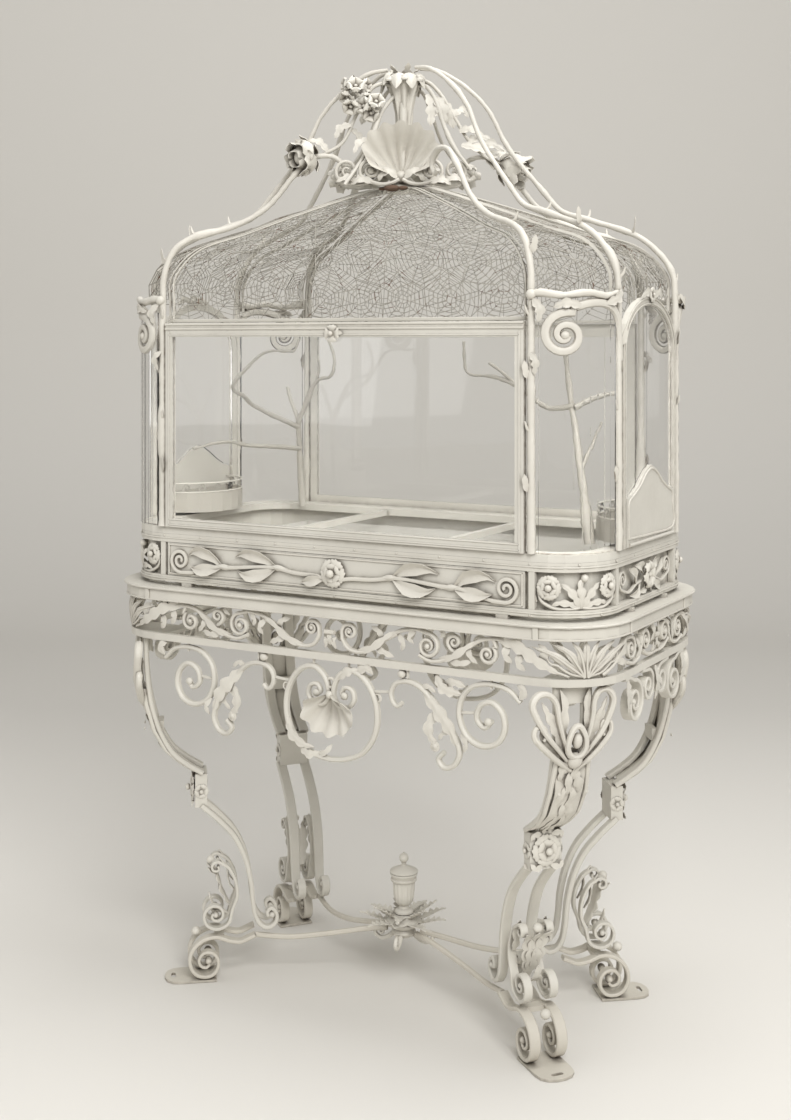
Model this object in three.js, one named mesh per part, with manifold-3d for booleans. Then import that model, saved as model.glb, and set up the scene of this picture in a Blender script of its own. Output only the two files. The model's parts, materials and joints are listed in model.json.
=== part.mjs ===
// Bird cage on stand: a glazed, wire-domed cage of wrought iron on a scrolled four-legged stand.
// Units are millimetres. The origin is on the floor under the middle of the stand, +Z is up,
// the front faces -Y and the long side runs along X.
import * as THREE from 'three';
import { mergeVertices } from 'three/addons/utils/BufferGeometryUtils.js';
import Module from 'manifold-3d';

const wasm = await Module();
wasm.setup();

// ---------------------------------------------------------------- driving dimensions

const GAP = 0.3;                                    // free play between touching pieces
const ARC_STEPS = 3;                                // half the steps in each rounded corner

// Cage plan: a rounded rectangle through the middles of the eight posts.
const CAGE = { halfX: 540, halfY: 275, corner: 120 };
const POST_R = 8.5;
const POST_SIDES = 6;
const PLINTH = { bottom: 853, lowerTop: 866, upperBottom: 935, top: 952, rail: 14, skin: 3 };
const SILL = { bottom: PLINTH.top + GAP, top: 967, width: 42 };
const FRAME = { bottom: SILL.top + GAP, top: 1372, stile: 18, sash: 12 };
const HEAD = { bottom: FRAME.top + 0.5, top: 1388, half: 408 };
const GLASS_T = 4;
const CORNER_GLASS_TOP = 1410;

// Side bays: an arched light over a peaked feeder door.
const BAY = {
  halfW: 145, stile: 16, spring: 1330, rise: 107, frame: [533, 545], glass: [537, 541], curve: 6,
};
const DOOR = {
  face: 547, shoulder: 1058, peak: 1114, thickness: 6, barrelR: 4, barrelHalf: 118, axis: SILL.top + 5,
};
const FEEDER = { halfW: 115, depth: 98, height: 42, wall: 3 };

// Roof: the plan outline shrinks towards the apex while its level follows ROOF_LINE.
const ROOF_INSET = 16;
const ROOF_T = 3;
const ROOF_LINE = [
  [1, 1474], [0.97, 1503], [0.92, 1530], [0.85, 1550], [0.7, 1573], [0.5, 1610], [0.2, 1660],
];
const FRONT_RIB_LINE = [
  [1, 1440], [0.995, 1485], [0.96, 1535], [0.88, 1566], [0.7, 1592], [0.565, 1633],
  [0.46, 1697], [0.38, 1734], [0.3, 1738], [0.255, 1726],
];
const SIDE_RIB_LINE = [
  [1, 1440], [0.992, 1485], [0.95, 1525], [0.86, 1566], [0.685, 1600], [0.595, 1617],
  [0.53, 1655], [0.396, 1750], [0.323, 1828], [0.238, 1879], [0.137, 1915], [0.062, 1922],
];

// Stand.
const TOP_RAIL = { halfX: 565, halfY: 302, corner: 135, bottom: 817, top: 840, thickness: 8 };
const LEDGE = { overhang: 5, width: 66, thickness: 5 };
const FRIEZE = { halfX: 554, halfY: 289, corner: 124, thickness: 5 };
const LOW_RAIL = { halfX: 557, halfY: 292, corner: 127, bottom: 733, top: 747, thickness: 12 };

// Each leg lies in an upright plane turned LEG.angle from X and set LEG.offset off the axis.
const LEG = {
  angle: THREE.MathUtils.degToRad(38.33), offset: -109.5, pair: 28, width: 22, thickness: 10,
};
const LEG_UPPER = [
  [535, 732.7], [535, 690], [532, 640], [524, 590], [508, 535], [482, 488], [452, 462], [417, 440],
];
const LEG_LOWER = [
  [420, 367], [383, 339], [350, 302], [328, 256], [316, 206], [312, 166], [306, 132],
  [293, 112], [277, 107], [263, 118], [262, 136], [272, 147],
];
const FOOT_BAR = { thickness: 8, peak: [307, 90] };
const FOOT_SCROLL = [
  [339, 78], [362, 84], [388, 93], [415, 88], [436, 71], [446, 47], [440, 25], [422, 11.5],
  [400, 12], [386, 27], [386, 47], [398, 60], [415, 60], [425, 47], [421, 34], [409, 30],
];
const FOOT_PLATE = { inner: 388, outer: 496, halfW: 38, thickness: 5 };
const ARM = { size: 10, path: [[291, 126, 92], [232, 84, 84], [160, 46, 92], [84, 21, 108], [35, 9, 116]] };

// ---------------------------------------------------------------- materials

const paint = (color, roughness = 0.55) =>
  new THREE.MeshStandardMaterial({ color, roughness, metalness: 0.1 });
const IRON = paint(0xd9d4c8);
const WIRE = paint(0xd6d1c4, 0.6);
const TWIG = paint(0xcfcabd, 0.7);
const ZINC = new THREE.MeshStandardMaterial({ color: 0x9b9a94, roughness: 0.5, metalness: 0.6 });
const GLASS = new THREE.MeshStandardMaterial({
  color: 0xe6ecea, roughness: 0.05, metalness: 0, transparent: true, opacity: 0.3,
});

// ---------------------------------------------------------------- solid helpers

const group = new THREE.Group();

/** Strips a geometry to merged positions, so that it is one closed surface. */
function clean(geometry) {
  const bare = geometry.clone();
  for (const name of Object.keys(bare.attributes)) {
    if (name !== 'position') bare.deleteAttribute(name);
  }
  return mergeVertices(bare, 1e-3);
}

/** Turns a geometry into a solid for joining and cutting. */
function toSolid(geometry) {
  const { attributes, index } = clean(geometry);
  return new wasm.Manifold(new wasm.Mesh({
    numProp: 3,
    vertProperties: new Float32Array(attributes.position.array),
    triVerts: new Uint32Array(index.array),
  }));
}

/** Turns a solid back into a geometry. */
function fromSolid(solid) {
  const mesh = solid.getMesh();
  const geometry = new THREE.BufferGeometry();
  geometry.setAttribute('position', new THREE.BufferAttribute(mesh.vertProperties, 3));
  geometry.setIndex(new THREE.BufferAttribute(mesh.triVerts, 1));
  return geometry;
}

function join(...geometries) {
  return fromSolid(geometries.map(toSolid).reduce((whole, piece) => whole.add(piece)));
}

function cut(geometry, ...tools) {
  return fromSolid(tools.map(toSolid).reduce((whole, tool) => whole.subtract(tool), toSolid(geometry)));
}

/** Applies a matrix, turning the faces round again where the matrix mirrors. */
function place(geometry, matrix) {
  const moved = clean(geometry).applyMatrix4(matrix);
  if (matrix.determinant() < 0) {
    const order = moved.index.array;
    for (let i = 0; i < order.length; i += 3) [order[i], order[i + 1]] = [order[i + 1], order[i]];
  }
  return moved;
}

const mirror = (geometry, sx, sy) => place(geometry, new THREE.Matrix4().makeScale(sx, sy, 1));

function add(name, geometry, material) {
  const mesh = new THREE.Mesh(geometry, material);
  mesh.name = name;
  group.add(mesh);
}

/** A box between two corners. */
function box(x0, x1, y0, y1, z0, z1) {
  const geometry = new THREE.BoxGeometry(x1 - x0, y1 - y0, z1 - z0);
  return geometry.translate((x0 + x1) / 2, (y0 + y1) / 2, (z0 + z1) / 2);
}

/** A shape raised from z0 to z1. */
function slab(shape, z0, z1, curveSegments = ARC_STEPS) {
  const options = { depth: z1 - z0, bevelEnabled: false, curveSegments };
  return new THREE.ExtrudeGeometry(shape, options).translate(0, 0, z0);
}

/** A shape drawn in (Y, Z) and raised along X from x0 to x1. */
function sideSlab(shape, x0, x1, curveSegments = ARC_STEPS) {
  const geometry = slab(shape, x0, x1, curveSegments);
  return place(geometry, new THREE.Matrix4().set(0, 0, 1, 0, 1, 0, 0, 0, 0, 1, 0, 0, 0, 0, 0, 1));
}

/** A shape drawn in (X, Z) and raised along Y from y0 to y1. */
function frontSlab(shape, y0, y1, curveSegments = ARC_STEPS) {
  return slab(shape, -y1, -y0, curveSegments).rotateX(Math.PI / 2);
}

/** Traces a rounded rectangle on a shape or a path. */
function roundedRect(target, halfX, halfY, radius) {
  const x = halfX - radius;
  const y = halfY - radius;
  target.absarc(x, y, radius, 0, Math.PI / 2);
  target.absarc(-x, y, radius, Math.PI / 2, Math.PI);
  target.absarc(-x, -y, radius, Math.PI, 1.5 * Math.PI);
  target.absarc(x, -y, radius, 1.5 * Math.PI, 2 * Math.PI);
  return target;
}

/** A rounded rectangular ring of the given wall, from z0 to z1. */
function ring(halfX, halfY, radius, wall, z0, z1) {
  const shape = roundedRect(new THREE.Shape(), halfX, halfY, radius);
  shape.holes.push(roundedRect(new THREE.Path(), halfX - wall, halfY - wall, radius - wall));
  return slab(shape, z0, z1);
}

/** Points on a smooth curve through the given ones. */
function smooth(points, steps) {
  return new THREE.SplineCurve(points.map(([x, y]) => new THREE.Vector2(x, y))).getSpacedPoints(steps);
}

/** The outline of a flat bar bent along a line of points. */
function stripShape(points, thickness) {
  const left = [];
  const right = [];
  points.forEach((point, i) => {
    const arriving = point.clone().sub(points[Math.max(i - 1, 0)]).normalize();
    const leaving = points[Math.min(i + 1, points.length - 1)].clone().sub(point).normalize();
    const along = arriving.clone().add(leaving).normalize();
    const mitre = i > 0 ? Math.max(Math.abs(arriving.dot(along)), 0.5) : 1;
    const normal = new THREE.Vector2(-along.y, along.x).multiplyScalar(thickness / 2 / mitre);
    left.push(point.clone().add(normal));
    right.unshift(point.clone().sub(normal));
  });
  return new THREE.Shape([...left, ...right]);
}

/** A flat bar bent in the (X, Z) plane, its width lying across Y about y = middle. */
function bentBar(points, thickness, width, middle = 0) {
  return frontSlab(stripShape(points, thickness), middle - width / 2, middle + width / 2);
}

const polygon = (radius, sides) => new THREE.Shape(Array.from({ length: sides }, (_, i) => {
  const turn = (2 * Math.PI * (i + 0.5)) / sides;
  return new THREE.Vector2(radius * Math.cos(turn), radius * Math.sin(turn));
}));

/** A bar of the given section swept through points in space. */
function sweep(points, section, steps) {
  const path = new THREE.CatmullRomCurve3(points.map((p) => new THREE.Vector3(...p)), false, 'centripetal');
  return new THREE.ExtrudeGeometry(section, { steps, bevelEnabled: false, extrudePath: path });
}

/** A turned piece about the Z axis from (radius, level) pairs. */
function turned(profile, sides) {
  const points = profile.map(([r, z]) => new THREE.Vector2(r, z));
  return new THREE.LatheGeometry(points, sides).rotateX(Math.PI / 2);
}

const CORNERS = [['front_left', -1, -1], ['front_right', 1, -1], ['back_left', -1, 1], ['back_right', 1, 1]];

// ---------------------------------------------------------------- stand

/** Carries a piece from a leg's own plane (along, across, up) to its corner. */
function legMatrix(sx, sy) {
  const c = Math.cos(LEG.angle);
  const s = Math.sin(LEG.angle);
  return new THREE.Matrix4().makeBasis(
    new THREE.Vector3(sx * c, sy * s, 0),
    new THREE.Vector3(-sx * s, sy * c, 0),
    new THREE.Vector3(0, 0, 1),
  ).multiply(new THREE.Matrix4().makeTranslation(0, LEG.offset, 0));
}

/** Two parallel flat bars tied by a top block, a spacer and the cast flower collar. */
function legPair() {
  const upper = smooth(LEG_UPPER, 8);
  const lower = smooth(LEG_LOWER, 14);
  const line = [...upper, ...lower];
  const bars = [-LEG.pair, LEG.pair].map((y) => bentBar(line, LEG.thickness, LEG.width, y));
  const inner = LEG.pair - LEG.width / 4;
  const topBlock = box(531, 539, -inner, inner, 700, 732.7);
  const spacer = box(505, 515, -inner, inner, 525, 551);
  const collar = box(408, 433, -33, 33, 368, 438);
  return join(...bars, topBlock, spacer, collar);
}

/** The rolled foot: twin scrolls with a spacer between them, and the arm to the hub. */
function footScroll() {
  const scroll = smooth(FOOT_SCROLL, 21);
  const line = [new THREE.Vector2(...FOOT_BAR.peak), ...scroll];
  const bars = [-LEG.pair, LEG.pair].map((y) => bentBar(line, FOOT_BAR.thickness, LEG.width, y));
  const inner = LEG.pair - LEG.width / 4;
  return join(...bars, box(372, 392, -inner, inner, 85, 95));
}

function stretcherArm() {
  const half = ARM.size / 2;
  const section = new THREE.Shape([
    new THREE.Vector2(-half, -half), new THREE.Vector2(half, -half),
    new THREE.Vector2(half, half), new THREE.Vector2(-half, half),
  ]);
  return sweep(ARM.path, section, 8);
}

/** A tongue-shaped plate with a fixing slot near its tip. */
function footPlate() {
  const { inner, outer, halfW, thickness } = FOOT_PLATE;
  const shape = new THREE.Shape();
  shape.moveTo(inner, -halfW);
  shape.lineTo(outer - 34, -halfW);
  shape.quadraticCurveTo(outer - 4, -halfW, outer, -8);
  shape.lineTo(outer, 8);
  shape.quadraticCurveTo(outer - 4, halfW, outer - 34, halfW);
  shape.lineTo(inner, halfW);
  const slot = new THREE.Path();
  slot.absarc(outer - 18, 8, 4.5, 0, Math.PI);
  slot.absarc(outer - 18, -8, 4.5, Math.PI, 2 * Math.PI);
  shape.holes.push(slot);
  return slab(shape, 0, thickness);
}

const leg = legPair();
const foot = footScroll();
const arm = stretcherArm();
const plate = footPlate();
for (const [corner, sx, sy] of CORNERS) {
  const matrix = legMatrix(sx, sy);
  add(`foot_plate_${corner}`, place(plate, matrix), IRON);
  add(`leg_${corner}`, place(leg, matrix), IRON);
  add(`base_scroll_${corner}`, join(place(foot, matrix), mirror(arm, sx, sy)), IRON);
}

/** A ragged rosette that takes the four arms, with a seat for the urn. */
function hubRosette() {
  const leaves = new THREE.Shape(Array.from({ length: 24 }, (_, i) => {
    const r = i % 2 ? 46 : 88;
    return new THREE.Vector2(r * Math.cos((i * Math.PI) / 12), r * Math.sin((i * Math.PI) / 12));
  }));
  const core = turned([[0, 100], [20, 100], [28, 112], [26, 130], [24, 150], [0, 150]], 12);
  return join(core, slab(leaves, 134, 140));
}

add('hub_rosette', cut(hubRosette(), ...CORNERS.map(([, sx, sy]) => {
  const path = ARM.path.map(([x, y, z]) => [sx * x, sy * y, z]);
  const last = path.at(-1);
  return sweep([...path.slice(0, -1), [last[0] * 0.9, last[1] * 0.9, last[2] + 0.4]],
    polygon(ARM.size * 0.78, 4), 8);
})), IRON);

const URN = [
  [0, 150.3], [16, 150.3], [14, 156], [17, 164], [21, 186], [23, 214], [27, 224], [29, 236], [0, 236],
];
const URN_LID = [
  [0, 236.3], [30, 236.3], [28, 241], [12, 248], [5, 252], [5, 258], [9, 264], [9, 270], [5, 276], [0, 278],
];
add('urn_body', turned(URN, 20), IRON);
add('urn_lid', turned(URN_LID, 16), IRON);

/** The moulded top: an upright band, a flat ledge over it, and eight pads for the cage. */
function standTopRail() {
  const { halfX, halfY, corner, bottom, top, thickness } = TOP_RAIL;
  const { overhang } = LEDGE;
  const band = ring(halfX, halfY, corner, thickness, bottom, top + 1);
  const ledge = ring(halfX + overhang, halfY + overhang, corner + overhang, LEDGE.width, top,
    top + LEDGE.thickness);
  const padTop = PLINTH.bottom - GAP;
  const y = CAGE.halfY - PLINTH.rail / 2;
  const x = CAGE.halfX - PLINTH.rail / 2;
  const pads = [[-360, y], [360, y], [-360, -y], [360, -y], [x, 90], [x, -90], [-x, 90], [-x, -90]].map(
    ([px, py]) => box(px - 12, px + 12, py - 6, py + 6, top + LEDGE.thickness - 1, padTop));
  return join(band, ledge, ...pads);
}

/** The frieze's lower rail, with a gusset in each corner that takes a leg. */
function standLowerRail() {
  const { halfX, halfY, corner, bottom, top, thickness } = LOW_RAIL;
  const x = halfX - corner;
  const y = halfY - corner;
  const gusset = new THREE.Shape();
  gusset.moveTo(x, y);
  gusset.absarc(x, y, corner - 4, 0, Math.PI / 2);
  gusset.lineTo(x, y);
  const plates = CORNERS.map(([, sx, sy]) => mirror(slab(gusset, bottom, bottom + 6), sx, sy));
  return join(ring(halfX, halfY, corner, thickness, bottom, top), ...plates);
}

add('stand_top_rail', standTopRail(), IRON);
add('stand_lower_rail', standLowerRail(), IRON);
add('stand_frieze', ring(FRIEZE.halfX, FRIEZE.halfY, FRIEZE.corner, FRIEZE.thickness,
  LOW_RAIL.top + GAP, TOP_RAIL.bottom - GAP), IRON);

// Centre lines of the apron's scrolls in (X, Z), for the +X half.
const APRON = {
  bar: 9,
  cScroll: [
    [32, 664], [24, 672], [32, 684], [48, 680], [52, 662], [38, 646], [16, 649], [5, 668], [14, 700],
    [40, 718], [72, 708], [96, 676], [104, 636], [96, 596], [70, 562], [34, 546], [-1, 542],
  ],
  sScroll: [
    [158, 670], [149, 662], [139, 668], [134, 686], [144, 704], [170, 711], [200, 702], [228, 676],
    [250, 646], [272, 616], [280, 590], [268, 566], [248, 560], [236, 574], [248, 588],
  ],
  cornerScroll: [
    [404, 698], [380, 718], [345, 725], [308, 717], [284, 692], [280, 656], [296, 624], [326, 610],
    [356, 618], [372, 644], [368, 674], [346, 692], [322, 682], [316, 658], [332, 644], [346, 658],
  ],
};

/** Wrought scrolls under the frieze: C-scrolls round a hanging shell, S-scrolls and corner scrolls. */
function apron() {
  const half = APRON.bar / 2;
  const lines = [smooth(APRON.cScroll, 16), smooth(APRON.sScroll, 14), smooth(APRON.cornerScroll, 15)];
  const scrolls = lines.map((line) => bentBar(line, APRON.bar, APRON.bar));
  const tie = (x0, x1, z0, z1) => box(x0, x1, -half, half, z0, z1);
  const top = LOW_RAIL.bottom - GAP;
  const ties = [tie(30, 44, 716, top), tie(168, 182, 709, top), tie(338, 352, 724, top),
    tie(94, 138, 670, 680), tie(262, 286, 632, 644)];
  const side = join(...scrolls, ...ties);
  const shell = new THREE.Shape();
  shell.absellipse(0, 622, 52, 36, Math.PI, 2 * Math.PI);
  shell.lineTo(7, 662);
  shell.lineTo(-7, 662);
  return join(side, mirror(side, -1, 1), frontSlab(shell, -3, 3), tie(-8, 8, 654, 672),
    tie(-6, 6, 540, 590));
}

const apronFront = apron();
add('apron_front', apronFront.clone().translate(0, -LOW_RAIL.halfY + 7, 0), IRON);
add('apron_back', apronFront.clone().translate(0, LOW_RAIL.halfY - 7, 0), IRON);

// ---------------------------------------------------------------- cage: plinth and drawer

const DRAWER = {
  halfX: 407, mouthHalfX: 410, frontY: -275, backY: 236, depth: 10, floor: 2.5, trayHalfX: 394, trayTop: 928,
};

/** Two rails joined by uprights under the posts, with two runners for the drawer. */
function plinthFrame() {
  const { halfX, halfY, corner } = CAGE;
  const { bottom, lowerTop, upperBottom, top, rail } = PLINTH;
  const lower = ring(halfX, halfY, corner, rail, bottom, lowerTop);
  const upper = ring(halfX, halfY, corner, rail, upperBottom, top);
  const inset = rail / 2;
  const uprights = CORNERS.flatMap(([, sx, sy]) => [
    [sx * (halfX - corner), sy * (halfY - inset)], [sx * (halfX - inset), sy * (halfY - corner)],
  ]).map(([x, y]) => box(x - 6, x + 6, y - 6, y + 6, lowerTop - 2, upperBottom + 2));
  const runners = [-370, 370].map((x) => box(x - 8, x + 8, -halfY + 8, halfY - 8, bottom, lowerTop));
  return join(lower, upper, ...uprights, ...runners);
}

/** The dark backing skin behind the plinth's openwork, open at the front for the drawer. */
function plinthSkin() {
  const inset = PLINTH.rail + GAP;
  const { halfX, halfY, corner } = CAGE;
  const skin = ring(halfX - inset, halfY - inset, corner - inset, PLINTH.skin, PLINTH.lowerTop + GAP,
    PLINTH.top);
  const mouth = box(-DRAWER.mouthHalfX, DRAWER.mouthHalfX, -halfY, -halfY + 60, PLINTH.bottom, PLINTH.top + 1);
  return cut(skin, mouth);
}

/** A drawer front with a raised flower boss as its pull. */
function drawerFront() {
  const { halfX, frontY, depth } = DRAWER;
  const board = box(-halfX, halfX, frontY, frontY + depth, PLINTH.lowerTop + 1, PLINTH.upperBottom - 1);
  const boss = new THREE.SphereGeometry(20, 10, 6).scale(1, 0.45, 1).translate(0, frontY, 900);
  return join(board, boss);
}

function drawerTray() {
  const { frontY, backY, depth, floor, trayHalfX, trayTop } = DRAWER;
  const y0 = frontY + depth + GAP;
  const bottom = PLINTH.lowerTop + GAP;
  const outer = box(-trayHalfX, trayHalfX, y0, backY, bottom, trayTop);
  const inner = box(-trayHalfX + floor, trayHalfX - floor, y0 + floor, backY - floor, bottom + floor,
    trayTop + 1);
  return cut(outer, inner);
}

add('plinth_frame', plinthFrame(), IRON);
add('plinth_backing', plinthSkin(), IRON);
add('drawer_front', drawerFront(), IRON);
add('drawer_tray', drawerTray(), ZINC);

/** The sill that carries posts and glass, with a middle bar across the floor opening. */
function cageSill() {
  const { halfX, halfY, corner } = CAGE;
  const rim = ring(halfX, halfY, corner, SILL.width, SILL.bottom, SILL.top);
  const bars = [-180, 180].map((x) => box(x - 7, x + 7, -halfY + 10, halfY - 10, SILL.bottom, SILL.top - 3));
  return join(rim, ...bars);
}

add('cage_sill', cageSill(), IRON);

// ---------------------------------------------------------------- cage: posts, ribs and glazing

/** A post that runs on over the roof as a rib towards the crown. */
function postRib(x, y, line, steps) {
  const levels = [FRAME.bottom, 1200];
  const points = [...levels.map((z) => [x, y, z]), ...line.map(([s, z]) => [s * x, s * y, z])];
  return sweep(points, polygon(POST_R, POST_SIDES), steps);
}

const frontPost = [CAGE.halfX - CAGE.corner, CAGE.halfY];
const sidePost = [CAGE.halfX, CAGE.halfY - CAGE.corner];
for (const [corner, sx, sy] of CORNERS) {
  const [end, hand] = corner.split('_');
  add(`${end}_rib_${hand}`, postRib(sx * frontPost[0], sy * frontPost[1], FRONT_RIB_LINE, 17), IRON);
  add(`side_rib_${corner}`, postRib(sx * sidePost[0], sy * sidePost[1], SIDE_RIB_LINE, 20), IRON);
}

/** A quarter-round pane between a long-side post and a short-side post. */
function cornerPane() {
  const cx = CAGE.halfX - CAGE.corner;
  const cy = CAGE.halfY - CAGE.corner;
  const from = THREE.MathUtils.degToRad(6.5);
  const to = Math.PI / 2 - from;
  const shape = new THREE.Shape();
  shape.absarc(cx, cy, CAGE.corner + 1.5, from, to, false);
  shape.absarc(cx, cy, CAGE.corner + 1.5 - GLASS_T, to, from, true);
  return slab(shape, FRAME.bottom, CORNER_GLASS_TOP, 5);
}

for (const [corner, sx, sy] of CORNERS) {
  add(`corner_glass_${corner}`, mirror(cornerPane(), sx, sy), GLASS);
}

/** A rectangular sash of the given top level, between two depths. */
function sash(top, y0, y1) {
  const outer = box(-HEAD.half, HEAD.half, y0, y1, FRAME.bottom, top);
  const light = box(-HEAD.half + FRAME.stile, HEAD.half - FRAME.stile, y0 - 1, y1 + 1,
    FRAME.bottom + FRAME.stile, FRAME.top - FRAME.sash);
  return cut(outer, light);
}

function pane(middleY) {
  const halfX = HEAD.half - FRAME.stile - GAP;
  return box(-halfX, halfX, middleY - GLASS_T / 2, middleY + GLASS_T / 2,
    FRAME.bottom + FRAME.stile + GAP, FRAME.top - FRAME.sash - GAP);
}

const sashY = [CAGE.halfY - 5, CAGE.halfY + 7];
const latchZ = FRAME.top - FRAME.sash / 2;
const spindleHole = new THREE.CylinderGeometry(2.8, 2.8, 30, 8).translate(0, -CAGE.halfY - 1, latchZ);
add('front_window_frame', cut(sash(FRAME.top, -sashY[1], -sashY[0]), spindleHole), IRON);
add('front_window_glass', pane(-CAGE.halfY - 1), GLASS);
add('back_window_frame', sash(HEAD.top, sashY[0], sashY[1]), IRON);
add('back_window_glass', pane(CAGE.halfY + 1), GLASS);
add('head_rail_front', box(-HEAD.half, HEAD.half, -sashY[1], -sashY[0], HEAD.bottom, HEAD.top), IRON);

/** A flower turn-button: boss outside, spindle through the sash, and a tongue inside. */
function turnButton() {
  const petals = new THREE.Shape(Array.from({ length: 16 }, (_, i) => {
    const r = i % 4 === 0 ? 17 : 9;
    return new THREE.Vector2(r * Math.cos((i * Math.PI) / 8), r * Math.sin((i * Math.PI) / 8));
  }));
  const front = -sashY[1] - GAP;
  const back = -sashY[0] + GAP;
  const flower = frontSlab(petals, front - 5, front).translate(0, 0, latchZ);
  const spindle = new THREE.CylinderGeometry(2.5, 2.5, back - front + 2, 8)
    .translate(0, (front + back) / 2, latchZ);
  const tongue = box(-4, 26, back, back + 4, latchZ - 5, latchZ + 5);
  return join(flower, spindle, tongue);
}

add('window_latch', turnButton(), IRON);

/** The outline of an arched bay of the given half-width. */
function archOutline(halfW, rise, bottom) {
  const shape = new THREE.Shape();
  shape.moveTo(-halfW, bottom);
  shape.lineTo(halfW, bottom);
  shape.absellipse(0, BAY.spring, halfW, rise, 0, Math.PI);
  return shape;
}

/** The peaked ogee outline of the feeder door, with its curved top raised by lift. */
function doorOutline(halfW, bottom, lift) {
  const shoulder = DOOR.shoulder + lift;
  const peak = DOOR.peak + lift;
  const shape = new THREE.Shape();
  shape.moveTo(-halfW, bottom);
  shape.lineTo(halfW, bottom);
  shape.lineTo(halfW, shoulder);
  shape.bezierCurveTo(halfW * 0.55, shoulder + 4, halfW * 0.35, peak - 6, 0, peak);
  shape.bezierCurveTo(-halfW * 0.35, peak - 6, -halfW * 0.55, shoulder + 4, -halfW, shoulder);
  return shape;
}

function sideFrame() {
  const [x0, x1] = BAY.frame;
  const outer = sideSlab(archOutline(BAY.halfW, BAY.rise, FRAME.bottom), x0, x1, BAY.curve);
  const light = archOutline(BAY.halfW - BAY.stile, BAY.rise - BAY.stile, FRAME.bottom - 1);
  return cut(outer, sideSlab(light, x0 - 1, x1 + 1, BAY.curve));
}

function sidePane() {
  const halfW = BAY.halfW - BAY.stile - GAP;
  const [x0, x1] = BAY.glass;
  const whole = sideSlab(archOutline(halfW, BAY.rise - BAY.stile - GAP, FRAME.bottom), x0, x1, BAY.curve);
  return cut(whole, sideSlab(doorOutline(halfW + 2, FRAME.bottom - 5, 2), x0 - 7, x1 + 9, 5));
}

/** A peaked panel with a hinge barrel along its foot. */
function feederDoor() {
  const halfW = BAY.halfW - BAY.stile - 1;
  const panel = sideSlab(doorOutline(halfW, SILL.top + 1.5, 0), DOOR.face - DOOR.thickness, DOOR.face, 5);
  const barrel = new THREE.CylinderGeometry(DOOR.barrelR, DOOR.barrelR, 2 * DOOR.barrelHalf, 8)
    .translate(DOOR.face, 0, DOOR.axis);
  return join(panel, barrel);
}

/** A half-round trough that hangs inside the feeder door and tips out with it. */
function feederTrough() {
  const { halfW, depth, height, wall } = FEEDER;
  const back = DOOR.face - DOOR.thickness - GAP;
  const bottom = SILL.top + 6;
  const outline = (inset) => {
    const shape = new THREE.Shape();
    shape.absellipse(back - inset, 0, depth - 2 * inset, halfW - inset, Math.PI / 2, 1.5 * Math.PI);
    return shape;
  };
  const outer = slab(outline(0), bottom, bottom + height, 6);
  return cut(outer, slab(outline(wall), bottom + wall, bottom + height + 1, 6));
}

for (const [hand, sx] of [['left', -1], ['right', 1]]) {
  add(`side_frame_${hand}`, mirror(sideFrame(), sx, 1), IRON);
  add(`side_glass_${hand}`, mirror(sidePane(), sx, 1), GLASS);
  add(`feeder_door_${hand}`, mirror(feederDoor(), sx, 1), IRON);
  add(`feeder_trough_${hand}`, mirror(feederTrough(), sx, 1), WIRE);
}

// ---------------------------------------------------------------- roof and crown

/** A closed sheet over a grid of points; each point has an outer and an inner place. */
function sheet(rows) {
  const count = rows[0].length;
  const positions = rows.flatMap((row) => row.flatMap(([outer, inner]) => [...outer, ...inner]));
  const at = (i, j, side) => 2 * (i * count + j) + side;
  const index = [];
  const quad = (a, b, c, d) => index.push(a, b, c, a, c, d);
  for (let i = 0; i + 1 < rows.length; i += 1) {
    for (let j = 0; j + 1 < count; j += 1) {
      quad(at(i, j, 0), at(i, j + 1, 0), at(i + 1, j + 1, 0), at(i + 1, j, 0));
      quad(at(i, j, 1), at(i + 1, j, 1), at(i + 1, j + 1, 1), at(i, j + 1, 1));
    }
    quad(at(i, 0, 0), at(i + 1, 0, 0), at(i + 1, 0, 1), at(i, 0, 1));
    quad(at(i, count - 1, 0), at(i, count - 1, 1), at(i + 1, count - 1, 1), at(i + 1, count - 1, 0));
  }
  const last = rows.length - 1;
  for (let j = 0; j + 1 < count; j += 1) {
    quad(at(0, j, 0), at(0, j, 1), at(0, j + 1, 1), at(0, j + 1, 0));
    quad(at(last, j, 0), at(last, j + 1, 0), at(last, j + 1, 1), at(last, j, 1));
  }
  const geometry = new THREE.BufferGeometry();
  geometry.setAttribute('position', new THREE.Float32BufferAttribute(positions, 3));
  geometry.setIndex(index);
  return geometry;
}

/** One roof panel: a stretch of the plan outline carried up the roof line. */
function roofPanel(outline, bottom, trim) {
  const line = [[1, bottom], ...ROOF_LINE];
  return sheet(line.map(([s, z], i) => outline.map(([x, y]) => {
    const sink = i < 2 ? 0 : ROOF_T;
    const shrink = 1 - ROOF_T / 250;
    const px = Math.sign(x) * Math.max(Math.abs(s * x) - trim[0], 0);
    const py = Math.sign(y) * Math.max(Math.abs(s * y) - trim[1], 0);
    return [[px, py, z], [px * (trim[0] ? 1 : shrink), py * (trim[1] ? 1 : shrink), z - sink]];
  })));
}

const roofX = CAGE.halfX - ROOF_INSET;
const roofY = CAGE.halfY - ROOF_INSET;
const roofR = CAGE.corner - ROOF_INSET;

function frontOutline() {
  return Array.from({ length: 7 }, (_, i) => [(roofX - roofR) * (i / 3 - 1), -roofY]);
}

/** Corner, short side, corner: from the front post round to the back post. */
function endOutline() {
  const quarter = (sy, from) => Array.from({ length: 5 }, (_, i) => {
    const turn = THREE.MathUtils.degToRad(from + 22.5 * i);
    return [roofX - roofR + roofR * Math.cos(turn), sy * (roofY - roofR) + roofR * Math.sin(turn)];
  });
  return [...quarter(-1, -90), ...quarter(1, 0)];
}

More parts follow.
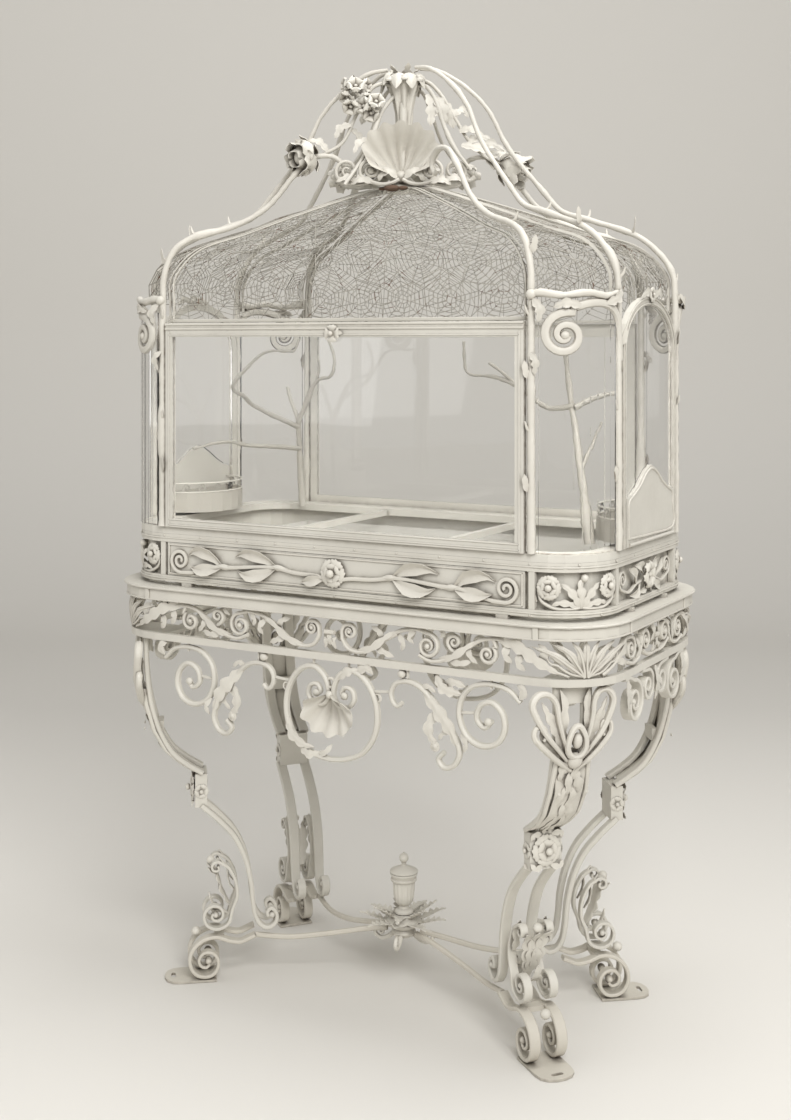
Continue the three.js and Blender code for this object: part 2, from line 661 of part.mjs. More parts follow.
const frontPanel = roofPanel(frontOutline(), HEAD.top + 0.5, [12, 0]);
add('roof_mesh_front', frontPanel, WIRE);
add('roof_mesh_back', mirror(frontPanel, 1, -1), WIRE);
const endPanel = roofPanel(endOutline(), 1440, [0, 0]);
add('roof_mesh_right', endPanel, WIRE);
add('roof_mesh_left', mirror(endPanel, -1, 1), WIRE);

/** A fluted shell standing over the middle of the roof. */
function crownShell() {
  const lobes = 9;
  const shape = new THREE.Shape([
    new THREE.Vector2(-14, 0),
    ...Array.from({ length: 2 * lobes + 1 }, (_, i) => {
      const turn = Math.PI * (1.08 - (1.16 * i) / (2 * lobes));
      const r = i % 2 ? 88 : 80;
      return new THREE.Vector2(r * Math.cos(turn), 44 + r * 0.92 * Math.sin(turn));
    }),
    new THREE.Vector2(14, 0),
  ].reverse());
  return frontSlab(shape, -4, 4).rotateX(0.22).translate(0, -72, 1686);
}

/** Oval cap over the wire roof, a stem, and the trumpet flower at the top. */
function crownFinial() {
  const cap = turned([[0, 1664], [48, 1664], [50, 1672], [36, 1684], [0, 1688]], 20).scale(1.9, 0.92, 1);
  const flower = turned([
    [0, 1680], [16, 1680], [9, 1700], [7, 1780], [9, 1826], [15, 1862], [33, 1884], [31, 1892],
    [19, 1900], [23, 1914], [17, 1934], [0, 1946],
  ], 12);
  return join(cap, flower);
}

add('crown_shell_front', crownShell(), IRON);
add('crown_shell_back', mirror(crownShell(), 1, -1), IRON);
add('crown_finial', crownFinial(), IRON);

// ---------------------------------------------------------------- perches

const twig = (points, radius, steps) => sweep(points, polygon(radius, 5), steps);

function leftPerch() {
  return join(
    twig([[-384, 200, 967.3], [-390, 200, 1070], [-398, 200, 1166], [-427, 200, 1241]], 8, 5),
    twig([[-398, 200, 1166], [-372, 198, 1215], [-343, 195, 1261], [-300, 190, 1268], [-292, 190, 1319],
      [-306, 190, 1352]], 5, 8),
    twig([[-392, 200, 1100], [-420, 130, 1108], [-470, 10, 1122], [-500, -70, 1110]], 5, 6),
    twig([[-396, 200, 1150], [-440, 90, 1200], [-425, -20, 1254], [-362, 0, 1322], [-274, 0, 1328],
      [-262, 0, 1358]], 5, 9),
  );
}

function rightPerch() {
  return join(
    twig([[460, -100, 967.3], [452, -98, 1060], [436, -90, 1160], [420, -80, 1244], [402, -80, 1334]], 8, 7),
    twig([[420, -82, 1236], [355, -70, 1222], [292, -50, 1260], [226, -50, 1308]], 5, 6),
    twig([[292, -50, 1260], [230, -50, 1280], [175, -50, 1284], [168, -50, 1352]], 4.5, 6),
    twig([[424, -82, 1230], [452, -60, 1242], [470, 20, 1252], [440, 120, 1262]], 5, 5),
  );
}

add('perch_left', leftPerch(), TWIG);
add('perch_right', rightPerch(), TWIG);

export default group;
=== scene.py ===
"""A bird cage on a wrought and cast iron stand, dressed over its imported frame.

Lengths inside the classes are millimetres in the frame's own axes: X along the long side, -Y to the
front, +Z up, with the floor at Z 0. Each casting turns them into metres as it gathers its mesh.
"""

import json
import logging
import math
import random
from collections.abc import Callable, Sequence
from dataclasses import dataclass, field
from enum import Enum

import bmesh
import bpy
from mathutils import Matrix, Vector

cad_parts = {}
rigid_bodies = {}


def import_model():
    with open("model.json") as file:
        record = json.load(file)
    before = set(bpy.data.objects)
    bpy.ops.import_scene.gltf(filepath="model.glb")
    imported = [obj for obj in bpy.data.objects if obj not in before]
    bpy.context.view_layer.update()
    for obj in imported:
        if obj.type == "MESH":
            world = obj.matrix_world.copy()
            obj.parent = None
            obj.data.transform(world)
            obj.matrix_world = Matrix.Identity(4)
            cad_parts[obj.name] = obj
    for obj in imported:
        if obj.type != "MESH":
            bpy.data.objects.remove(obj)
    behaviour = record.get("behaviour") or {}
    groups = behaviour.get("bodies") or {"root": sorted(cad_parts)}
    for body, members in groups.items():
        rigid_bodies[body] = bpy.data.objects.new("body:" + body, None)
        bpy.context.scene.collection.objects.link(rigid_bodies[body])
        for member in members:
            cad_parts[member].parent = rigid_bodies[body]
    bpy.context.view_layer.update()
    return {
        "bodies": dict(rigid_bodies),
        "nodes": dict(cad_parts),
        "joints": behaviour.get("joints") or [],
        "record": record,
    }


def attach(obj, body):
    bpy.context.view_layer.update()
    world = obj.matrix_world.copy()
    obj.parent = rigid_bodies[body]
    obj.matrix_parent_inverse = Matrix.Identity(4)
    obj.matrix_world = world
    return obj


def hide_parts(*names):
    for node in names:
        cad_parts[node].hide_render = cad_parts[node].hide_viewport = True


MM = 0.001
UP = Vector((0.0, 0.0, 1.0))
SIDES = (-1, 1)
CORNERS = tuple((sx, sy) for sx in SIDES for sy in SIDES)
CRISP_EDGE = math.radians(42)
LOG = logging.getLogger("bird_cage")

Place = Callable[[Vector], Vector]
Outline = list[tuple[float, float]]


class Body(Enum):
    """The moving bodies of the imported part."""

    CAGE = "cage_on_stand"
    WINDOW = "front_window"
    LATCH = "latch"
    DRAWER = "drawer"
    LEFT_FEEDER = "left_feeder"
    RIGHT_FEEDER = "right_feeder"


class Slot(Enum):
    """The record's material slots."""

    IRON = "painted_iron"
    WIRE = "wire"
    TWIG = "twig"
    ZINC = "zinc"
    FOOT = "worn_foot"
    GLASS = "glass"


# ---------------------------------------------------------------- paths and places


def vec(*parts: float) -> Vector:
    """A vector from two or three numbers, with a missing third taken as 0."""
    return Vector((*parts, 0.0)) if len(parts) == 2 else Vector(parts)


def bend(points: Sequence[Sequence[float]], step: float = 5.0) -> list[Vector]:
    """A smooth line through a few points.

    Args:
        points: Points in order, each of two or three numbers.
        step: Rough distance between the points of the result.

    Returns:
        The points of a Catmull-Rom line.
    """
    given = [vec(*p) for p in points]
    line = [2 * given[0] - given[1], *given, 2 * given[-1] - given[-2]]
    out = []
    for a, b, c, d in zip(line, line[1:], line[2:], line[3:]):
        count = max(1, round((c - b).length / step))
        for i in range(count):
            t = i / count
            out.append(0.5 * (2 * b + (c - a) * t + (2 * a - 5 * b + 4 * c - d) * t * t
                              + (3 * b - a - 3 * c + d) * t ** 3))
    out.append(given[-1])
    return out


def spaced(line: Sequence[Vector], count: int) -> list[Vector]:
    """The same line cut into even steps.

    Args:
        line: The line's points.
        count: How many points the result has.

    Returns:
        Points at even distances along the line.
    """
    reach = [0.0]
    for a, b in zip(line, line[1:]):
        reach.append(reach[-1] + (b - a).length)
    out, k = [], 0
    for i in range(count):
        want = reach[-1] * i / (count - 1)
        while k < len(line) - 2 and reach[k + 1] < want:
            k += 1
        gap = max(reach[k + 1] - reach[k], 1e-9)
        out.append(line[k].lerp(line[k + 1], min(1.0, (want - reach[k]) / gap)))
    return out


def volute(centre: Sequence[float], outer: float, inner: float, start: float, turns: float) -> list[Vector]:
    """A flat spiral that winds in to its eye.

    Args:
        centre: The eye's place.
        outer: Radius where it starts.
        inner: Radius where it ends.
        start: Angle of the start in degrees.
        turns: Turns to the eye, negative for clockwise.

    Returns:
        The spiral's points, from the outside in.
    """
    middle, count = vec(*centre), max(8, round(abs(turns) * 22))
    out = []
    for i in range(count + 1):
        t = i / count
        radius = outer + (inner - outer) * t ** 0.85
        angle = math.radians(start) + 2 * math.pi * turns * t
        out.append(middle + vec(math.cos(angle), math.sin(angle)) * radius)
    return out


def mirrored(points: Sequence[Vector], sign: int) -> list[Vector]:
    """The points with their first number times a sign."""
    return [vec(p.x * sign, p.y, p.z) for p in points]


def plain(p: Vector) -> Vector:
    """The frame's own axes."""
    return p


def front_wall(y: float, sign: int = -1) -> Place:
    """A wall facing the front (sign -1) or the back (sign 1): x, height, stand-off."""
    return lambda p: Vector((p.x, y + sign * p.z, p.y))


def end_wall(x: float, sign: int) -> Place:
    """A wall facing an end: distance along Y, height, stand-off."""
    return lambda p: Vector((sign * (x + p.z), p.x, p.y))


@dataclass(frozen=True)
class Plan:
    """A rectangle with round corners, seen from above, that ornament wraps round."""

    half_x: float
    half_y: float
    corner: float

    @property
    def front(self) -> float:
        """Length of the straight front from its middle."""
        return self.half_x - self.corner

    @property
    def arc(self) -> float:
        """Length round a corner."""
        return self.corner * math.pi / 2

    @property
    def end(self) -> float:
        """Length of the straight end from its middle."""
        return self.half_y - self.corner

    @property
    def quarter(self) -> float:
        """Length from the middle of the front to the middle of an end."""
        return self.front + self.arc + self.end

    def place(self, p: Vector) -> Vector:
        """A point at p.x round from the middle of the front, p.y up and p.z proud of the outline."""
        side, run = (1 if p.x >= 0 else -1), abs(p.x)
        past = run > self.quarter
        run = 2 * self.quarter - run if past else run
        if run <= self.front:
            x, y, nx, ny = run, -self.half_y, 0.0, -1.0
        elif run <= self.front + self.arc:
            turn = (run - self.front) / self.corner
            nx, ny = math.sin(turn), -math.cos(turn)
            x, y = self.front + self.corner * nx, -self.end + self.corner * ny
        else:
            x, y, nx, ny = self.half_x, run - self.quarter, 1.0, 0.0
        flip = -1 if past else 1
        return Vector((side * (x + nx * p.z), flip * (y + ny * p.z), p.y))

    def loop(self, height: float, proud: float = 0.0, step: float = 14.0) -> list[Vector]:
        """The closed outline at a height, without repeating its first point."""
        count = round(4 * self.quarter / step)
        runs = [(i / count * 4 - 2) * self.quarter for i in range(count)]
        return [self.place(vec(run, height, proud)) for run in runs]


# ---------------------------------------------------------------- castings


def round_section(radius: float, sides: int = 8, squash: float = 1.0) -> Outline:
    """A round bar's section, flattened along the second axis by squash."""
    turn = 2 * math.pi / sides
    return [(radius * math.cos(turn * i), radius * squash * math.sin(turn * i)) for i in range(sides)]


def flat_section(thick: float, width: float, ease: float = 1.0) -> Outline:
    """A flat bar's section with its corners eased."""
    a, b = thick / 2, width / 2
    return [(a, -b + ease), (a, b - ease), (a - ease, b), (-a + ease, b),
            (-a, b - ease), (-a, -b + ease), (-a + ease, -b), (a - ease, -b)]


def taper(root: float, middle: float, tip: float) -> Callable[[float], float]:
    """A swell that goes from root through middle to tip along a bar."""
    def swell(t: float) -> float:
        return root + (middle - root) * 2 * t if t < 0.5 else middle + (tip - middle) * (2 * t - 1)
    return swell


class Casting:
    """A mesh gathered from closed shells: bars, leaves, flowers, balls and turned work."""

    def __init__(self, place: Place = plain) -> None:
        """Starts an empty casting whose shapes are drawn in the given place."""
        self.points: list[Vector] = []
        self.faces: list[tuple[int, ...]] = []
        self.place = place

    def at(self, place: Place) -> "Casting":
        """Draws what follows in another place."""
        self.place = place
        return self

    def shell(self, points: Sequence[Vector], faces: Sequence[tuple[int, ...]]) -> None:
        """Adds one closed shell, given in the present place."""
        base = len(self.points)
        self.points += [self.place(p) for p in points]
        self.faces += [tuple(base + i for i in face) for face in faces]

    def grid(self, front: list[list[Vector]], back: list[list[Vector]]) -> None:
        """Adds a thin plate between two grids of points, closed round its rim."""
        rows, cols = len(front), len(front[0])
        half = rows * cols
        points = [p for row in front for p in row] + [p for row in back for p in row]
        faces = []
        for i in range(rows - 1):
            for j in range(cols - 1):
                a, b, c, d = i * cols + j, i * cols + j + 1, (i + 1) * cols + j + 1, (i + 1) * cols + j
                faces += [(a, b, c, d), (half + d, half + c, half + b, half + a)]
        rim = [i * cols for i in range(rows)] + [(rows - 1) * cols + j for j in range(1, cols)]
        rim += [i * cols + cols - 1 for i in range(rows - 2, -1, -1)] + list(range(cols - 2, 0, -1))
        faces += [(a, b, half + b, half + a) for a, b in zip(rim, rim[1:] + rim[:1])]
        self.shell(points, faces)

    def bar(self, line: Sequence[Vector], section: Outline, rise: Vector | None = None,
            swell: Callable[[float], float] | None = None, closed: bool = False) -> None:
        """Sweeps a section along a line.

        Args:
            line: The bar's centre line.
            section: Points across the bar, the second number along rise.
            rise: Direction that the section's second axis keeps to, or None to carry it along the line.
            swell: Size of the section along the line, from 0 at its start to 1 at its end.
            closed: Whether the line is a closed loop.
        """
        count, size = len(line), len(section)
        up = rise
        points = []
        for i, point in enumerate(line):
            ahead = line[(i + 1) % count] if closed else line[min(i + 1, count - 1)]
            behind = line[i - 1] if closed else line[max(i - 1, 0)]
            run = (ahead - behind).normalized()
            if up is None:
                up = UP if abs(run.z) < 0.9 else Vector((1.0, 0.0, 0.0))
            lift = (up - run * up.dot(run)).normalized()
            if rise is None:
                up = lift
            across = run.cross(lift)
            scale = swell(i / (count - 1)) if swell else 1.0
            points += [point + across * (a * scale) + lift * (b * scale) for a, b in section]
        spans = count if closed else count - 1
        faces = []
        for i in range(spans):
            here, there = i * size, (i + 1) % count * size
            for j in range(size):
                k = (j + 1) % size
                faces.append((here + j, there + j, there + k, here + k))
        if not closed:
            faces += [tuple(range(size)), tuple(reversed(range((count - 1) * size, count * size)))]
        self.shell(points, faces)

    def rod(self, points: Sequence[Sequence[float]], radius: float, tip: float = 1.0, sides: int = 8,
            step: float = 6.0, root: float = 1.0) -> list[Vector]:
        """Adds a round rod through a few points, tapering to tip, and returns its line."""
        line = bend(points, step)
        self.bar(line, round_section(radius, sides), swell=taper(root, (root + tip) / 2 + 0.12, tip))
        return line

    def scroll(self, line: Sequence[Vector], width: float, thick: float, tip: float = 0.55,
               rise: Vector = UP) -> None:
        """Adds a half-round scroll bar along a line, thinning towards its eye."""
        a, b = thick / 2, width / 2
        section = [(a, 0.0), (a * 0.75, b * 0.72), (0.0, b), (-a * 0.75, b * 0.72),
                   (-a, 0.0), (-a * 0.8, -b * 0.8), (a * 0.8, -b * 0.8)]
        self.bar(line, section, rise, taper(1.0, (1.0 + tip) / 2 + 0.1, tip))

    def turned(self, profile: Outline, foot: Vector, axis: Vector = UP, sides: int = 16,
               flutes: int = 0, groove: float = 0.0) -> None:
        """Turns a profile round an axis, with flutes cut in it.

        Args:
            profile: Radius and height pairs from the foot up.
            foot: Where height 0 lies.
            axis: The direction of height.
            sides: Points round the work.
            flutes: Number of flutes.
            groove: Depth of a flute as a share of the radius.
        """
        axis = axis.normalized()
        first = axis.orthogonal().normalized()
        second = axis.cross(first)
        points = []
        for radius, height in profile:
            for i in range(sides):
                turn = 2 * math.pi * i / sides
                size = radius * (1 - groove * (0.5 - 0.5 * math.cos(flutes * turn)))
                points.append(foot + axis * height + (first * math.cos(turn) + second * math.sin(turn)) * size)
        faces = [tuple(reversed(range(sides))), tuple(range((len(profile) - 1) * sides, len(profile) * sides))]
        for i in range(len(profile) - 1):
            for j in range(sides):
                k = (j + 1) % sides
                faces.append((i * sides + j, i * sides + k, (i + 1) * sides + k, (i + 1) * sides + j))
        self.shell(points, faces)

    def block(self, low: Sequence[float], high: Sequence[float]) -> None:
        """Adds a plain block between two corners."""
        (x0, y0, z0), (x1, y1, z1) = low, high
        points = [vec(x, y, z) for z in (z0, z1) for x, y in ((x0, y0), (x1, y0), (x1, y1), (x0, y1))]
        self.shell(points, [(3, 2, 1, 0), (4, 5, 6, 7), *[(i, (i + 1) % 4, (i + 1) % 4 + 4, i + 4) for i in range(4)]])

    def ball(self, centre: Vector, radius: float, squash: float = 1.0, axis: Vector = UP, sides: int = 12) -> None:
        """Adds a ball, flattened along its axis by squash."""
        rings = max(5, sides // 2)
        profile = []
        for i in range(rings + 1):
            turn = math.pi * (0.06 + 0.88 * i / rings)
            profile.append((radius * math.sin(turn), -radius * squash * math.cos(turn)))
        self.turned(profile, centre, axis, sides)

    def leaf(self, spine: Sequence[Sequence[float]], face: Vector, width: float, lobes: int = 3,
             cut: float = 0.45, cup: float = 0.2, thick: float = 1.8, root: float = 0.3,
             across: int = 6, vein: float = 0.1, blunt: bool = False) -> None:
        """Adds a leaf with a raised midrib and a lobed edge.

        Args:
            spine: A few points from the leaf's root to its tip.
            face: The way that the leaf's front looks.
            width: Width over the widest lobes.
            lobes: Lobes along each side.
            cut: Depth of the notches as a share of the half width.
            cup: How far the edges rise towards face, as a share of the half width.
            thick: Thickness at the midrib.
            root: Width of the root as a share of the whole.
            across: Cells across the leaf.
            vein: Height of the midrib as a share of the half width.
            blunt: Whether it ends round, as a petal does, and not in a point.
        """
        steps = max(6, lobes * 4)
        line = spaced(bend(spine, 3.0), steps + 1)
        face = face.normalized()
        front, back = [], []
        for i, point in enumerate(line):
            t = i / steps
            run = (line[min(i + 1, steps)] - line[max(i - 1, 0)]).normalized()
            side = run.cross(face).normalized()
            out = side.cross(run)
            body = math.sin(math.pi * (0.1 + 0.83 * t)) ** 0.55 if blunt else (
                math.sin(math.pi * (0.06 + 0.94 * t ** 0.85)) ** 0.75)
            notch = abs(math.cos(math.pi * t * lobes)) ** 3 if 0 < i < steps else 0.0
            half = width / 2 * max(root * (1 - t) ** 0.7, body, 0.05) * (1 - cut * notch)
            above, below = [], []
            for j in range(across + 1):
                s = 2 * j / across - 1
                lift = half * (cup * s * s - 0.22 * notch * abs(s)) + width / 2 * vein * (1 - abs(s)) ** 2
                spot = point + side * (s * half) + run * (abs(s) * half * 0.35) + out * lift
                above.append(spot)
                below.append(spot - out * (thick * (1 - 0.55 * abs(s))))
            front.append(above)
            back.append(below)
        self.grid(front, back)

    def flower(self, centre: Vector, face: Vector, radius: float, petals: int = 5, heart: float = 0.26,
               turn: float = 0.0, lift: float = 0.3, layers: int = 1) -> None:
        """Adds an open flower of cupped petals round a button.

        Args:
            centre: The flower's middle.
            face: The way that it looks.
            radius: Its radius.
            petals: Petals in each layer.
            heart: Radius of the button as a share of the flower's.
            turn: Angle of the first petal in degrees.
            lift: How far the petals rise towards face, as a share of the radius.
            layers: Layers of petals, each smaller and turned half a petal.
        """
        face = face.normalized()
        first = face.orthogonal().normalized()
        second = face.cross(first)
        for layer in range(layers):
            reach = radius * (1 - 0.32 * layer)
            for i in range(petals):
                angle = math.radians(turn) + 2 * math.pi * (i + 0.5 * layer) / petals
                way = first * math.cos(angle) + second * math.sin(angle)
                base = centre + face * (radius * 0.14 * layer)
                spine = [base + way * (reach * 0.12), base + way * (reach * 0.5) + face * (reach * lift),
                         base + way * (reach * 0.86) + face * (reach * lift * 1.05),
                         base + way * reach + face * (reach * lift * 0.6)]
                self.leaf(spine, face, reach * 5.4 / petals, lobes=1, cup=-0.35, thick=max(1.0, radius * 0.1),
                          root=0.5, across=4, vein=-0.12, blunt=True)
        self.ball(centre + face * (radius * (0.16 + 0.12 * layers)), radius * heart, 0.8, face, 10)

    def bud(self, foot: Vector, axis: Vector, radius: float, length: float, petals: int = 5,
            flare: float = 0.2) -> None:
        """Adds a half-open rose: wrapped petals round a core, over pointed sepals.

        Args:
            foot: Where the stem meets it.
            axis: The way that it points.
            radius: Radius at its widest.
            length: Length from the stem to the petals' rims.
            petals: Petals in the outer layer.
            flare: How far the outer rims turn out, as a share of the radius.
        """
        axis = axis.normalized()
        first = axis.orthogonal().normalized()
        second = axis.cross(first)
        self.turned([(radius * 0.2, 0), (radius * 0.45, length * 0.18), (radius * 0.5, length * 0.55),
                     (radius * 0.36, length * 0.8), (radius * 0.12, length * 0.88)], foot, axis, 10)
        for layer, (size, rise) in enumerate(((0.66, 1.0), (1.0, 0.86))):
            for i in range(petals - 1 + layer):
                angle = 2 * math.pi * (i + 0.5 * layer) / (petals - 1 + layer)
                way = first * math.cos(angle) + second * math.sin(angle)
                reach = radius * size
                open_out = flare * radius * layer
                spine = [foot + way * (reach * 0.3) + axis * (length * 0.08),
                         foot + way * reach + axis * (length * 0.34),
                         foot + way * (reach * 0.98) + axis * (length * 0.7 * rise),
                         foot + way * (reach * 0.86 + open_out) + axis * (length * rise)]
                self.leaf(spine, way, reach * 1.7, lobes=1, cup=-0.6, thick=radius * 0.09, root=0.45, across=8,
                          vein=0.0, blunt=True)
        for i in range(5):
            angle = 2 * math.pi * i / 5 + 0.3
            way = first * math.cos(angle) + second * math.sin(angle)
            spine = [foot + way * (radius * 0.2), foot + way * (radius * 0.95) + axis * (length * 0.16),
                     foot + way * (radius * 1.3) + axis * (length * 0.42)]
            self.leaf(spine, way - axis * 0.4, radius * 0.55, lobes=1, cup=-0.2, thick=radius * 0.08, across=4)

    def scallop(self, hinge: Vector, rise: Vector, face: Vector, radius: float, spread: float,
                flutes: int = 9, belly: float = 0.3, thick: float = 2.5) -> None:
        """Adds a fluted shell that fans from its hinge.

        Args:
            hinge: The shell's narrow end.
            rise: The way that its middle flute points.
            face: The way that its front looks.
            radius: Length of the middle flute.
            spread: Half the fan's angle in degrees.
            flutes: Number of flutes.
            belly: How far the rim leans towards face, as a share of the radius.
            thick: Thickness.
        """
        rise, face = rise.normalized(), face.normalized()
        side = rise.cross(face).normalized()
        cells, rows = flutes * 6, 9
        front, back = [], []
        for i in range(rows + 1):
            t = 0.1 + 0.9 * i / rows
            above, below = [], []
            for j in range(cells + 1):
                s = 2 * j / cells - 1
                turn = math.radians(spread) * s
                ridge = math.cos(math.pi * flutes * (s + 1))
                reach = radius * t * (1 - 0.46 * s ** 4) * (1 + 0.035 * t * t * ridge)
                lean = belly * radius * t ** 2.4 + 0.055 * radius * t * ridge
                lean += radius * (0.42 * s * s - 0.2) * math.sin(math.pi * min(t, 0.85))
                spot = hinge + (rise * math.cos(turn) + side * math.sin(turn)) * reach + face * lean
                above.append(spot)
                below.append(spot - face * thick)
            front.append(above)
            back.append(below)
        self.grid(front, back)

    def mesh(self, name: str) -> bpy.types.Mesh:
        """The gathered shells as a mesh in metres with outward normals and crisp corners."""
        made = bpy.data.meshes.new(name)
        made.from_pydata([tuple(p * MM) for p in self.points], [], self.faces)
        work = bmesh.new()
        work.from_mesh(made)
        bmesh.ops.recalc_face_normals(work, faces=work.faces)
        for face in work.faces:
            face.smooth = True
        for edge in work.edges:
            edge.smooth = not (edge.is_manifold and edge.calc_face_angle(0.0) > CRISP_EDGE)
        work.to_mesh(made)
        work.free()
        return made


# ---------------------------------------------------------------- node trees


class NodeTree:
    """A node tree built in the script, with named inputs and outputs."""

    def __init__(self, name: str, kind: str) -> None:
        """Makes an empty node group.

        Args:
            name: The group's name.
            kind: GeometryNodeTree or ShaderNodeTree.
        """
        self.tree = bpy.data.node_groups.new(name, kind)
        self.start = self.tree.nodes.new("NodeGroupInput")
        self.end = self.tree.nodes.new("NodeGroupOutput")

    def takes(self, name: str, kind: str, default: object = None) -> None:
        """Adds a named input of a socket kind, such as Float."""
        made = self.tree.interface.new_socket(name=name, in_out="INPUT", socket_type=f"NodeSocket{kind}")
        if default is not None:
            made.default_value = default

    def gives(self, name: str, kind: str) -> None:
        """Adds a named output of a socket kind."""
        self.tree.interface.new_socket(name=name, in_out="OUTPUT", socket_type=f"NodeSocket{kind}")

    def node(self, kind: str, inputs: dict[object, object] | None = None, **settings: object) -> bpy.types.Node:
        """Adds a node.

        Args:
            kind: The node's type name.
            inputs: Sockets by name or number, each with a value or a socket to link from.
            settings: The node's own properties.

        Returns:
            The new node.
        """
        return add_node(self.tree, kind, inputs, **settings)

    def inlet(self, name: str) -> bpy.types.NodeSocket:
        """The group's own input, for linking from."""
        return self.start.outputs[name]

    def put(self, name: str, source: bpy.types.NodeSocket) -> None:
        """Links a socket to one of the group's outputs."""
        self.tree.links.new(source, self.end.inputs[name])


def add_node(tree: bpy.types.NodeTree, kind: str, inputs: dict[object, object] | None = None,
             **settings: object) -> bpy.types.Node:
    """Adds a node to a tree, sets its properties and sockets, and links what is a socket.

    Args:
        tree: The tree.
        kind: The node's type name.
        inputs: Sockets by name or number, each with a value or a socket to link from.
        settings: The node's own properties.

    Returns:
        The new node.
    """
    made = tree.nodes.new(kind)
    for key, value in settings.items():
        setattr(made, key, value)
    for key, value in (inputs or {}).items():
        if isinstance(value, bpy.types.NodeSocket):
            tree.links.new(value, made.inputs[key])
        else:
            made.inputs[key].default_value = value
    return made


def grown(name: str, mesh: bpy.types.Mesh, tree: bpy.types.NodeTree, values: dict[str, object]) -> bpy.types.Object:
    """Runs a geometry tree on a mesh and keeps the result as a plain object.

    Args:
        name: The result's name.
        mesh: The mesh that the tree starts from.
        tree: The geometry tree.
        values: The tree's inputs by name.

    Returns:
        An object with the finished mesh and no modifier.
    """
    carrier = bpy.data.objects.new(f"{name}_guide", mesh)
    bpy.context.collection.objects.link(carrier)
    modifier = carrier.modifiers.new("Growth", "NODES")
    modifier.node_group = tree
    for item in tree.interface.items_tree:
        if item.item_type == "SOCKET" and item.in_out == "INPUT" and item.name in values:
            modifier[item.identifier] = values[item.name]
    carrier.update_tag()
    view = bpy.context.evaluated_depsgraph_get()
    result = bpy.data.meshes.new_from_object(carrier.evaluated_get(view), depsgraph=view)
    carrier.modifiers.remove(modifier)
    bpy.data.objects.remove(carrier)
    result.name = name
    made = bpy.data.objects.new(name, result)
    bpy.context.collection.objects.link(made)
    return made


def web_tree(rings: int) -> bpy.types.NodeTree:
    """A tree that spins an orb web of wire in every face of a mesh.

    Args:
        rings: Rings in each web.

    Returns:
        A tree with the inputs Cells, Wire Radius, Wander and Finish.
    """
    plan = NodeTree("Spun_Webs", "GeometryNodeTree")
    plan.takes("Cells", "Geometry")
    plan.takes("Wire Radius", "Float", 0.0008)
    plan.takes("Wander", "Float", 0.002)
    plan.takes("Finish", "Material")
    plan.gives("Webs", "Geometry")
    shape, rim = plan.inlet("Cells"), None
    for ring in range(rings, 1, -1):
        spun = plan.node("GeometryNodeExtrudeMesh", {"Mesh": shape, "Offset Scale": 0.0, "Individual": True})
        if rim is not None:
            plan.tree.links.new(rim, spun.inputs["Selection"])
        rim = spun.outputs["Top"]
        drawn = plan.node("GeometryNodeScaleElements",
                          {"Geometry": spun.outputs["Mesh"], "Selection": rim, "Scale": (ring - 1) / ring})
        shape = drawn.outputs["Geometry"]
    shake = plan.node("ShaderNodeTexNoise", {"Scale": 55.0, "Detail": 1.0}, noise_dimensions="3D")
    centred = plan.node("ShaderNodeVectorMath", {0: shake.outputs["Color"], 1: (0.5, 0.5, 0.5)},
                        operation="SUBTRACT")
    sized = plan.node("ShaderNodeVectorMath", {0: centred.outputs[0], "Scale": plan.inlet("Wander")},
                      operation="SCALE")
    moved = plan.node("GeometryNodeSetPosition", {"Geometry": shape, "Offset": sized.outputs[0]})
    lines = plan.node("GeometryNodeMeshToCurve", {"Mesh": moved.outputs[0]})
    gauge = plan.node("GeometryNodeCurvePrimitiveCircle", {"Resolution": 3, "Radius": plan.inlet("Wire Radius")})
    wires = plan.node("GeometryNodeCurveToMesh", {"Curve": lines.outputs[0], "Profile Curve": gauge.outputs[0],
                                                  "Fill Caps": True})
    whole = plan.node("GeometryNodeRealizeInstances", {0: wires.outputs[0]})
    coated = plan.node("GeometryNodeSetMaterial", {"Geometry": whole.outputs[0],
                                                   "Material": plan.inlet("Finish")})
    plan.put("Webs", coated.outputs[0])
    return plan.tree


